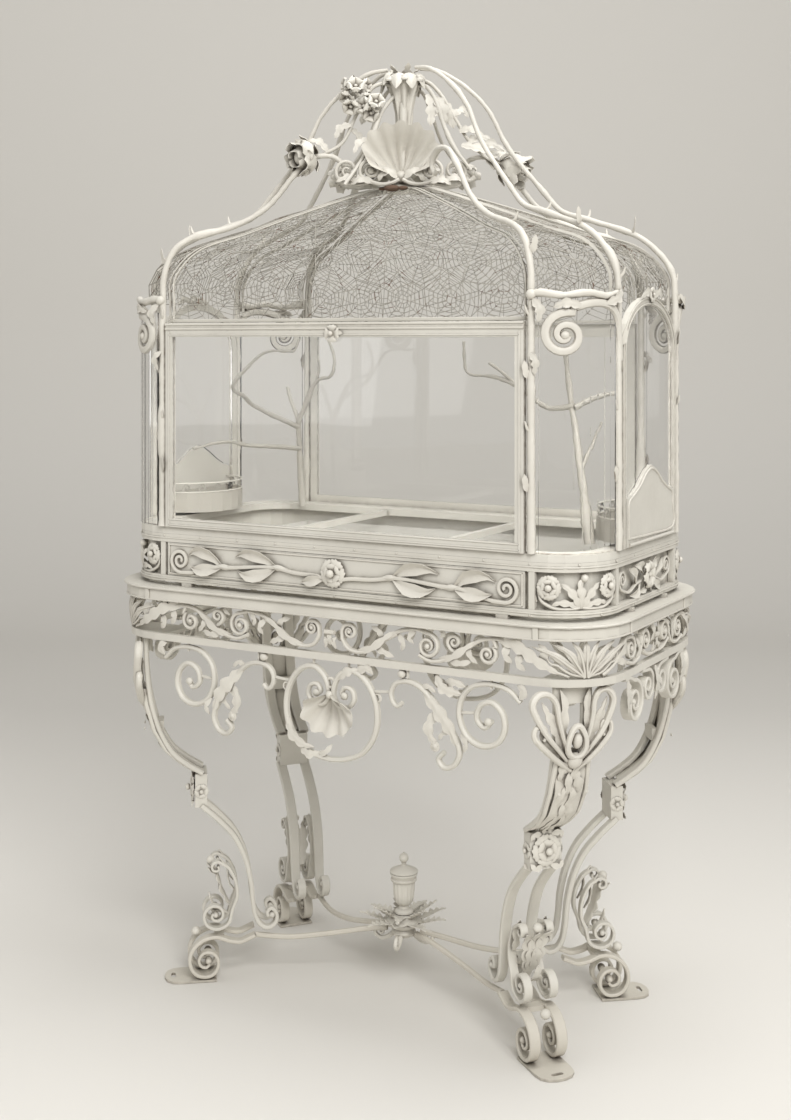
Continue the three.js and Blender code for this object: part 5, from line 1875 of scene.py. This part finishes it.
    def foot(self, bars: Casting, castings: Casting, leg: Place) -> None:
        """The C-scrolls and leaves above a foot."""
        bars.at(leg)
        castings.at(leg)
        upper = volute((388, 238), 15, 3, 150, -1.1)
        lower = volute((390, 138), 36, 5, 165, 1.7)
        line = bend(upper[::-3] + [vec(362, 236), vec(348, 208), vec(345, 176)] + lower[::3], 5)
        for across in (-27, 27):
            shifted = [vec(p.x, p.y, across) for p in line]
            bars.bar(shifted, flat_section(6.5, 18, 1.2), OUT, taper(0.8, 1.0, 0.85))
            castings.ball(vec(390, 138, across), 7, 1.3, OUT)
            castings.leaf([(352, 190, across), (364, 212, across), (366, 236, across), (382, 258, across)],
                          vec(1, -0.2), 20, lobes=3, cup=0.25, thick=2.6)
        castings.ball(vec(431, 96, 0), 10, 1.0)
        for fan, tip in ((0, 0), (-1, -26), (1, 26)):
            castings.leaf([(360, 150, fan * 6), (376, 182, fan * 10), (388, 220, fan * 16), (408, 238, tip)],
                          vec(1, -0.35), 30 if fan else 36, lobes=4, cup=0.3, thick=3.2)
        castings.ball(vec(400, 246, 0), 9, 1.1)
        castings.leaf([(364, 132, 0), (392, 148, 0), (404, 176, 0)], vec(1, -0.3), 26, lobes=3, cup=0.3, thick=3.0)

    def build(self) -> None:
        """Makes the castings of all four legs."""
        castings, bars = Casting(), Casting()
        for sx, sy in CORNERS:
            leg = self.place(sx, sy)
            castings.at(self.shin(sx, sy))
            self.knee(castings)
            self.collar(castings, leg)
            self.foot(bars, castings, leg)
        self.shop.cast("Leg_Acanthus", castings, self.shop.finishes.cast)
        self.shop.cast("Foot_Scrolls", bars, self.shop.finishes.bar)
        for sx, sy in CORNERS:
            corner = f"{'front' if sy < 0 else 'back'}_{'left' if sx < 0 else 'right'}"
            leg, base = Casting(), Casting()
            self.bars(leg, sx, sy)
            self.base(base, sx, sy)
            self.shop.cast(f"Leg_{corner}", leg, self.shop.finishes.bar, replaces=[f"leg_{corner}"])
            self.shop.cast(f"Rolled_Foot_{corner}", base, self.shop.finishes.foot, replaces=[f"base_scroll_{corner}"])
        seats = []
        for sx, sy in CORNERS:
            leg = self.place(sx, sy)
            for across in (-28, 28):
                for reach, height in ((538, 712), (538, 538)):
                    spot = leg(vec(reach, height, across))
                    seats.append((spot, spot - leg(vec(reach - 1, height, across))))
        self.shop.studs("Leg_Rivets", seats, 3.5, self.shop.finishes.bar)


@dataclass
class Hub:
    """The fluted urn and its ragged acanthus rosette where the four arms meet."""

    shop: Workshop

    def build(self) -> None:
        """Makes the urn, its lid and the rosette."""
        done = self.shop.finishes
        urn = Casting()
        centre = Vector((0, 0, 0))
        urn.turned([(18, 150.5), (20, 152), (19, 156), (11, 161), (10, 166), (14, 171)], centre, sides=24)
        urn.turned([(14, 170), (20, 176), (22, 190), (23, 205), (24, 218)], centre, sides=64, flutes=16, groove=0.07)
        urn.turned([(24, 217), (27, 219), (28, 222), (25, 225), (27, 230), (29, 232), (29, 235.5)], centre, sides=24)
        self.shop.cast("Urn", urn, done.cast, replaces=["urn_body"])
        lid = Casting()
        lid.turned([(29, 236.4), (30, 238.5), (28, 241), (17, 246), (8, 249.5), (4.5, 253), (5.5, 257)], centre, sides=24)
        lid.ball(Vector((0, 0, 266)), 10, 1.0, sides=16)
        lid.turned([(3, 274), (2.5, 276), (1, 278)], centre, sides=10)
        self.shop.cast("Urn_Lid", lid, done.cast, replaces=["urn_lid"])
        rosette = Casting()
        rosette.turned([(10, 101), (20, 104), (26, 112), (22, 120), (34, 127), (40, 134), (30, 141), (22, 147), (20, 150)],
                       centre, sides=24)
        for ring, (count, reach, top, width, phase) in enumerate(((9, 94, 138, 30, 0.2), (7, 70, 152, 26, 0.6))):
            for i in range(count):
                turn = 2 * math.pi * (i + phase) / count
                way = Vector((math.cos(turn), math.sin(turn), 0))
                droop = 17 * math.sin(3.1 * i + ring)
                spine = [way * 14 + UP * 132, way * (reach * 0.45) + UP * (top - 2),
                         way * (reach * 0.8) + UP * (top + 8 + droop * 0.5), way * reach + UP * (top + 10 + droop)]
                rosette.leaf(spine, UP + way * 0.3, width, lobes=6, cut=0.6, cup=0.35, thick=2.2)
        for i in range(4):
            turn = 2 * math.pi * (i + 0.15) / 4
            way = Vector((math.cos(turn), math.sin(turn), 0))
            rosette.rod([way * 14 + UP * 116, way * 34 + UP * 98, way * 52 + UP * 94, way * 63 + UP * 104,
                         way * 58 + UP * 116, way * 46 + UP * 114, way * 46 + UP * 104, way * 53 + UP * 104],
                        5.0, 0.6, 8, 4.0)
        self.shop.cast("Hub_Rosette", rosette, done.cast, replaces=["hub_rosette"])


# ---------------------------------------------------------------- crown


@dataclass
class Crown:
    """The shell, trumpet flower, drooping stems, roses and ivy that gather the ribs."""

    shop: Workshop
    sweep: float = math.radians(29.4)

    def spot(self, along: float, height: float, depth: float = 0.0) -> Vector:
        """A point in the crown's slanting plane: distance along it, height, distance behind it."""
        cos, sin = math.cos(self.sweep), math.sin(self.sweep)
        return Vector((along * cos - depth * sin, along * sin + depth * cos, height))

    def shells(self) -> None:
        """The two fluted shells with their cradling volutes."""
        for sign, name, node in ((-1, "Crown_Shell_Front", "crown_shell_front"),
                                 (1, "Crown_Shell_Back", "crown_shell_back")):
            shell = Casting()
            hinge, face = self.spot(-6, 1686, sign * 30), self.spot(0, 0, sign)
            shell.scallop(hinge, UP + face * 0.1, face, 118, 68, 8, 0.24, 3.0)
            shell.ball(hinge + face * 8 + UP * 6, 13, 0.8, face)
            self.shop.cast(name, shell, self.shop.finishes.cast, replaces=[node])
        cradle = Casting()
        for sign in SIDES:
            cradle.at(lambda p, s=sign: self.spot(p.x - 6, p.y, s * (44 + p.z)))
            for side in SIDES:
                line = mirrored(bend([(4, 1686, 6), (20, 1678, 8), (40, 1676, 6), (66, 1682, 2)], 5)
                                + volute((62, 1706, 2), 27, 5, -80, 1.7), side)
                cradle.scroll(line, 15, 9, 0.6)
                high = mirrored(bend([(66, 1680, -4), (88, 1676, -8), (108, 1678, -12)], 5)
                                + volute((112, 1706, -14), 27, 4, -80, 1.6), side)
                cradle.scroll(high, 13, 8, 0.6)
                cradle.ball(vec(side * 62, 1704, 4), 8, 0.8, OUT)
                for spine, width in (([(8, 1688, 10), (24, 1702, 16), (40, 1694, 14), (46, 1682, 8)], 22),
                                     ([(56, 1680, 6), (84, 1686, 10), (104, 1676, 4)], 24),
                                     ([(84, 1682, 0), (112, 1690, 2), (134, 1682, -4)], 20)):
                    cradle.leaf(mirrored([vec(*p) for p in spine], side), vec(0, 0.6, 1), width, lobes=3, cup=0.3,
                                thick=2.6)
        self.shop.cast("Crown_Cradle", cradle, self.shop.finishes.cast)

    def trumpet(self) -> None:
        """The cap, the fluted trumpet flower and its curled lips."""
        flower = Casting()
        centre = Vector((0, 0, 0))
        flower.turned([(52, 1664), (56, 1668), (48, 1674), (26, 1682), (14, 1696), (11, 1720)], centre, sides=28)
        flower.turned([(14, 1700), (14, 1780), (18, 1826), (26, 1862), (36, 1890), (46, 1900), (50, 1897), (49, 1893),
                       (45, 1904), (34, 1902), (24, 1888), (12, 1866)], centre, sides=84, flutes=7, groove=0.3)
        for turn in (0.9, 3.0, 5.1):
            way = Vector((math.cos(turn), math.sin(turn), 0))
            flower.turned([(7, 1696), (7, 1780), (9, 1830), (8, 1850)], way * 12, UP, 14)
        for i in range(9):
            turn = 2 * math.pi * i / 9
            way = Vector((math.cos(turn), math.sin(turn), 0))
            drop = 8 * math.sin(2.3 * i)
            spine = [way * 16 + UP * 1888, way * 30 + UP * (1910 + drop * 0.3), way * 44 + UP * (1904 + drop * 0.4),
                     way * 50 + UP * (1878 + drop)]
            flower.leaf(spine, UP, 32, lobes=2, cut=0.25, cup=-0.3, thick=2.2, root=0.6)
        for i in range(5):
            turn = 2 * math.pi * (i + 0.4) / 5
            way = Vector((math.cos(turn), math.sin(turn), 0))
            spine = [way * 8 + UP * 1886, way * 18 + UP * 1912, way * 34 + UP * (1924 + 7 * math.sin(5 * i))]
            flower.leaf(spine, way, 24, lobes=3, cut=0.5, cup=0.3, thick=2.0)
        self.shop.cast("Crown_Trumpet", flower, self.shop.finishes.cast, replaces=["crown_finial"])
        scar = Casting()
        for x, y, size in ((2, -54, 17), (24, -46, 11), (-22, -50, 9), (10, 52, 14)):
            scar.ball(Vector((x, y, 1668)), size, 0.42, sides=14)
        self.shop.cast("Crown_Scar", scar, self.shop.finishes.rust)

    def stems(self) -> None:
        """Drooping stems with blossom, roses, small leaves and ivy."""
        spot = self.spot
        lines = (
            [(-14, 1884), (-40, 1892), (-66, 1884), (-88, 1850), (-104, 1818), (-126, 1772), (-160, 1748), (-196, 1738)],
            [(-16, 1870, -8), (-46, 1830, -22), (-66, 1774, -34), (-88, 1726, -44), (-122, 1674, -60)],
            [(14, 1890), (44, 1898), (74, 1874), (104, 1826), (134, 1776), (170, 1740), (214, 1716)],
            [(16, 1884, -8), (44, 1886, -12), (66, 1856, -18), (84, 1800, -24), (106, 1752, -34), (140, 1706, -40)],
            [(10, 1886, 14), (40, 1880, 40), (60, 1836, 66), (84, 1776, 92), (120, 1726, 110)],
            [(-10, 1886, 14), (-36, 1880, 40), (-58, 1836, 66), (-80, 1776, 90), (-120, 1720, 108)],
        )
        guides = [(bend([spot(*p) for p in line], 9), 1.0, 0.8) for line in lines]
        self.shop.branch("Crown_Stems", guides, 4.4, self.shop.finishes.cast, knot=0.5, gnarl=0.5, seed=4.0)
        growth = Casting()
        growth.bud(spot(-192, 1742), spot(-1, -0.35) + self.spot(0, 0, -0.9), 36, 50, 5, 0.2)
        growth.bud(spot(200, 1726), spot(1, -0.5) + self.spot(0, 0, -0.4), 32, 68, 5, 0.4)
        growth.bud(spot(122, 1724, 108), spot(0.5, -0.4) + self.spot(0, 0, 0.7), 24, 44, 5, 0.4)
        growth.bud(spot(-122, 1718, 106), spot(-0.5, -0.4) + self.spot(0, 0, 0.7), 24, 44, 5, 0.4)
        rng = random.Random(21)
        for middle, count, spread in (((-100, 1886, -8), 6, 20), ((-104, 1862, -12), 4, 16), ((-62, 1832, -22), 3, 14)):
            for _ in range(count):
                off = Vector((rng.uniform(-1, 1), rng.uniform(-1, 1), rng.uniform(-1.2, 1.2))) * spread
                growth.flower(spot(*middle) + off, off + self.spot(0, 0, -14), rng.uniform(14, 20), 5, 0.24,
                              rng.uniform(0, 72), 0.7)
        ivy = (((62, 1862, -14), (78, 1842, -20), (84, 1806, -20), 34), ((78, 1850, -6), (98, 1832, -4), (104, 1798, -2), 32),
               ((50, 1868, -16), (58, 1842, -24), (56, 1800, -26), 30), ((-110, 1806, -2), (-132, 1798, -8), (-144, 1776, -8), 22),
               ((-112, 1798, 4), (-96, 1786, 10), (-90, 1764, 12), 18), ((116, 1792, -4), (142, 1796, -10), (164, 1780, -14), 24),
               ((136, 1768, -4), (158, 1782, 6), (184, 1776, 10), 26), ((120, 1760, -26), (150, 1754, -34), (176, 1742, -38), 26),
               ((150, 1752, -2), (180, 1764, -14), (210, 1748, -20), 28), ((170, 1742, 4), (190, 1722, 12), (216, 1716, 16), 22),
               ((176, 1738, 0), (202, 1746, 6), (232, 1734, 8), 26), ((62, 1836, 66), (84, 1846, 80), (96, 1820, 92), 28),
               ((-58, 1836, 66), (-80, 1846, 80), (-92, 1820, 92), 28), ((-160, 1750, 0), (-178, 1770, -4), (-200, 1772, -6), 20),
               ((104, 1826, -2), (124, 1838, 4), (136, 1822, 8), 20), ((-70, 1770, -34), (-92, 1764, -44), (-104, 1740, -46), 18))
        for root, middle, tip, width in ivy:
            growth.leaf([spot(*root), spot(*middle), spot(*tip)], self.spot(0.15, 0.5, -1), width, lobes=3, cut=0.5,
                        cup=0.22, thick=1.8, root=0.5)
        self.shop.cast("Crown_Growth", growth, self.shop.finishes.cast)

    def build(self) -> None:
        """Makes the whole crown."""
        self.shells()
        self.trumpet()
        self.stems()


@dataclass
class CornerArches:
    """The branch and bowed volute over each round pane, with leaves at the springing."""

    shop: Workshop
    plan: Plan = Plan(540.0, 275.0, 120.0)
    branch_height: float = 1436.0

    def build(self) -> None:
        """Makes the four corners."""
        guides = []
        scrolls = Casting()
        start, finish = self.plan.front - 2, self.plan.front + self.plan.arc + 2
        for sx in SIDES:
            for back in (False, True):
                def place(p: Vector, side: int = sx, rear: bool = back) -> Vector:
                    """Round the corner, from the front or from the back."""
                    run = 2 * self.plan.quarter - p.x if rear else p.x
                    return self.plan.place(vec(side * run, p.y, p.z))

                guides.append(([place(vec(start + (finish - start) * i / 16,
                                          self.branch_height + 3 * math.sin(i * 0.9), 3)) for i in range(17)], 1.0, 0.9))
                eye = vec(start + 64, 1362)
                line = bend([(finish, 1316), (finish - 2, 1356), (finish - 14, 1396), (finish - 40, 1417),
                             (finish - 76, 1421), (start + 78, 1412)], 7) + volute(tuple(eye), 43, 6, 72, 1.75)
                scrolls.at(place)
                scrolls.bar([vec(p.x, p.y, 2) for p in line], round_section(8.2, 8, 0.9), OUT, taper(0.85, 1.1, 0.7))
                scrolls.ball(vec(eye.x, eye.y, 2), 9)
                for spine, width in (([(finish - 50, 1420, 8), (finish - 26, 1430, 14), (finish - 4, 1446, 8)], 22),
                                     ([(start + 8, 1428, 8), (start + 22, 1410, 13), (start + 18, 1386, 8)], 20),
                                     ([(start + 92, 1414, 8), (start + 66, 1420, 14), (start + 44, 1412, 8)], 20),
                                     ([(start + 2, 1330, 6), (start + 14, 1316, 12), (start + 10, 1290, 6)], 16)):
                    scrolls.leaf(spine, OUT, width, lobes=3, cup=0.25, thick=2.6)
                scrolls.ball(vec(start + 4, 1436, 6), 10, 0.85)
        self.shop.branch("Corner_Branches", guides, 7.6, self.shop.finishes.cast, knot=0.55, gnarl=1.2, seed=8.0)
        self.shop.cast("Corner_Volutes", scrolls, self.shop.finishes.cast)


# ---------------------------------------------------------------- inside the cage and moving parts


@dataclass
class Perches:
    """Bare forked branches that the birds sit on."""

    shop: Workshop
    left: tuple = (
        (((-384, 200, 967), (-392, 201, 1060), (-398, 200, 1166), (-414, 198, 1206), (-427, 200, 1243)), 1.2, 0.5),
        (((-398, 200, 1160), (-372, 198, 1208), (-343, 195, 1258), (-300, 190, 1270), (-290, 188, 1296),
          (-293, 190, 1322), (-306, 190, 1352)), 0.85, 0.4),
        (((-392, 200, 1100), (-420, 130, 1108), (-446, 70, 1113), (-470, 10, 1124), (-500, -66, 1112)), 0.85, 0.4),
        (((-396, 200, 1150), (-440, 90, 1200), (-432, 34, 1226), (-425, -20, 1254), (-362, 0, 1322),
          (-310, 0, 1330), (-274, 0, 1330), (-263, 0, 1357)), 0.85, 0.35),
        (((-343, 195, 1259), (-330, 190, 1290), (-336, 188, 1318)), 0.5, 0.3),
    )
    right: tuple = (
        (((460, -100, 967), (446, -94, 1060), (424, -82, 1180), (412, -80, 1250), (402, -80, 1332)), 1.3, 0.45),
        (((421, -82, 1228), (388, -76, 1222), (355, -70, 1224), (292, -50, 1260), (256, -50, 1288),
          (226, -50, 1308)), 0.8, 0.4),
        (((292, -50, 1260), (258, -50, 1274), (230, -50, 1281), (178, -50, 1286), (170, -50, 1310),
          (168, -50, 1350)), 0.6, 0.35),
        (((424, -82, 1224), (452, -60, 1242), (470, 20, 1252), (456, 70, 1254), (440, 118, 1262)), 0.8, 0.4),
        (((440, -90, 1110), (456, -70, 1160), (468, -60, 1196)), 0.6, 0.35),
    )

    def build(self) -> None:
        """Makes both perches."""
        for name, rows, seed, node in (("Perch_Left", self.left, 2.0, "perch_left"),
                                       ("Perch_Right", self.right, 6.0, "perch_right")):
            guides = [(bend(points, 12), root, tip) for points, root, tip in rows]
            self.shop.branch(name, guides, 7.4, self.shop.finishes.twig, Slot.TWIG, 0.35, 1.3, seed, replaces=[node])


@dataclass
class Feeders:
    """Scrolled wire baskets on the tilting feeders, and the beads round their doors."""

    shop: Workshop
    reach: float = 540.0
    half: float = 113.0
    depth: float = 95.0

    def rim(self, side: int, height: float, swell: float = 1.0) -> list[Vector]:
        """The basket's half oval at a height."""
        return [Vector((side * (self.reach - self.depth * swell * math.cos(a)), self.half * swell * math.sin(a), height))
                for a in (math.pi * (i / 24 - 0.5) for i in range(25))]

    def build(self) -> None:
        """Makes both baskets and door beads."""
        for side, word, body in ((-1, "Left", Body.LEFT_FEEDER), (1, "Right", Body.RIGHT_FEEDER)):
            basket = Casting()
            for height, swell in ((1017, 1.0), (1037, 1.0), (975.8, 0.99)):
                basket.bar(self.rim(side, height, swell), round_section(2.0, 6), UP)
            for i in range(9):
                turn = math.pi * ((i + 0.5) / 9 - 0.5)
                spot = Vector((side * (self.reach - self.depth * math.cos(turn)), self.half * math.sin(turn), 0))
                way = Vector((side * self.depth * math.sin(turn), self.half * math.cos(turn), 0)).normalized()
                basket.at(lambda p, s=spot, w=way: s + w * p.x + UP * p.y)
                basket.bar(bend([(-8, 1017), (-9, 1024)], 4) + volute((-1, 1027), 8.5, 2, 190, -1.3),
                           round_section(1.8, 6), OUT)
                basket.bar(bend([(8, 1014), (9, 1000)], 4) + volute((1, 995), 8.5, 2, 10, -1.3),
                           round_section(1.8, 6), OUT)
            basket.at(end_wall(547.6, side))
            outline = [(-120, 984), (-120, 1030), (-118, 1052), (-96, 1062), (-60, 1078), (-30, 1098), (0, 1107), (30, 1098),
                       (60, 1078), (96, 1062), (118, 1052), (120, 1030), (120, 984), (0, 981)]
            line = bend([*outline, outline[0]], 8)[:-1]
            basket.bar([vec(p.x, p.y, -0.4) for p in line], round_section(2.4, 6), OUT, closed=True)
            self.shop.cast(f"Feeder_Basket_{word}", basket, self.shop.finishes.bar, body)


@dataclass
class Window:
    """Beads, putty lines and the flower button of the tilting front window."""

    shop: Workshop
    half: float = 390.0
    low: float = 986.0
    high: float = 1360.0

    def build(self) -> None:
        """Makes the window's beads, the head rail's strip and the button."""
        done = self.shop.finishes
        beads = Casting(front_wall(-282.0))
        for x, z0, z1 in ((-399, 969, 1371), (399, 969, 1371)):
            beads.bar([vec(x, z0, 0.3), vec(x, (z0 + z1) / 2, 0.3), vec(x, z1, 0.3)], flat_section(4.0, 2.4, 0.8), OUT)
        for z in (972.5, 983.0, 1363.5):
            beads.bar([vec(-399, z, 0.3), vec(0, z, 0.3), vec(399, z, 0.3)], flat_section(3.0, 2.4, 0.8), OUT)
        self.shop.cast("Window_Beads", beads, done.sheet, Body.WINDOW)
        strip = Casting(front_wall(-282.0))
        for z in (1376.5, 1385.5):
            strip.bar([vec(-408, z, 0.4), vec(0, z, 0.4), vec(408, z, 0.4)], flat_section(4.6, 3.0, 0.9), OUT)
        self.shop.cast("Head_Rail_Strips", strip, done.bar)
        button = Casting(front_wall(-282.4))
        button.turned([(4, 0.3), (4, 4.0)], vec(0, 1366), OUT, 10)
        button.flower(vec(0, 1366, 2.6), OUT, 17, 4, 0.3, turn=45, lift=0.16)
        button.leaf([(8, 1366, 2.6), (17, 1368, 3.4), (26, 1366, 2.6)], OUT, 9, lobes=1, thick=1.6)
        self.shop.cast("Window_Button", button, done.cast, Body.LATCH, replaces=["window_latch"])


@dataclass
class EndArches:
    """Beads on the arched end frames, with sprigs over their tops."""

    shop: Workshop
    half: float = 145.0
    spring: float = 1330.0
    rise: float = 107.0

    def build(self) -> None:
        """Makes the beads and sprigs."""
        casting = Casting()
        for side in SIDES:
            casting.at(end_wall(545.4, side))
            for inset in (3.0, 13.0):
                line = [vec(-self.half + inset, h) for h in (968, 1090, 1210)]
                line += [vec(-(self.half - inset) * math.cos(a), self.spring + (self.rise - inset) * math.sin(a))
                         for a in (math.pi * i / 24 for i in range(25))]
                line += [vec(self.half - inset, h) for h in (1210, 1090, 968)]
                casting.bar([vec(p.x, p.y, 0.2) for p in line], flat_section(3.2, 2.6, 0.8), OUT)
            for reach in SIDES:
                casting.leaf([(reach * 6, 1438, 2), (reach * 30, 1446, 8), (reach * 58, 1434, 3)], OUT, 18, lobes=3)
            casting.flower(vec(0, 1441, 3), OUT, 15, 5)
        self.shop.cast("End_Arch_Beads", casting, self.shop.finishes.bar)


# ---------------------------------------------------------------- the whole cage


def main() -> None:
    """Loads the frame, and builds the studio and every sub-assembly."""
    logging.basicConfig(level=logging.INFO, format="%(message)s")
    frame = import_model()
    Studio().build()
    shop = Workshop(frame, Finishes())
    for part in (Roof, Branches, CornerArches, Crown, EndArches, Window, Feeders, Perches, Plinth, Ledge, Frieze,
                 Aprons, Legs, Hub, Frames):
        part(shop).build()


if __name__ == "__main__":
    main()
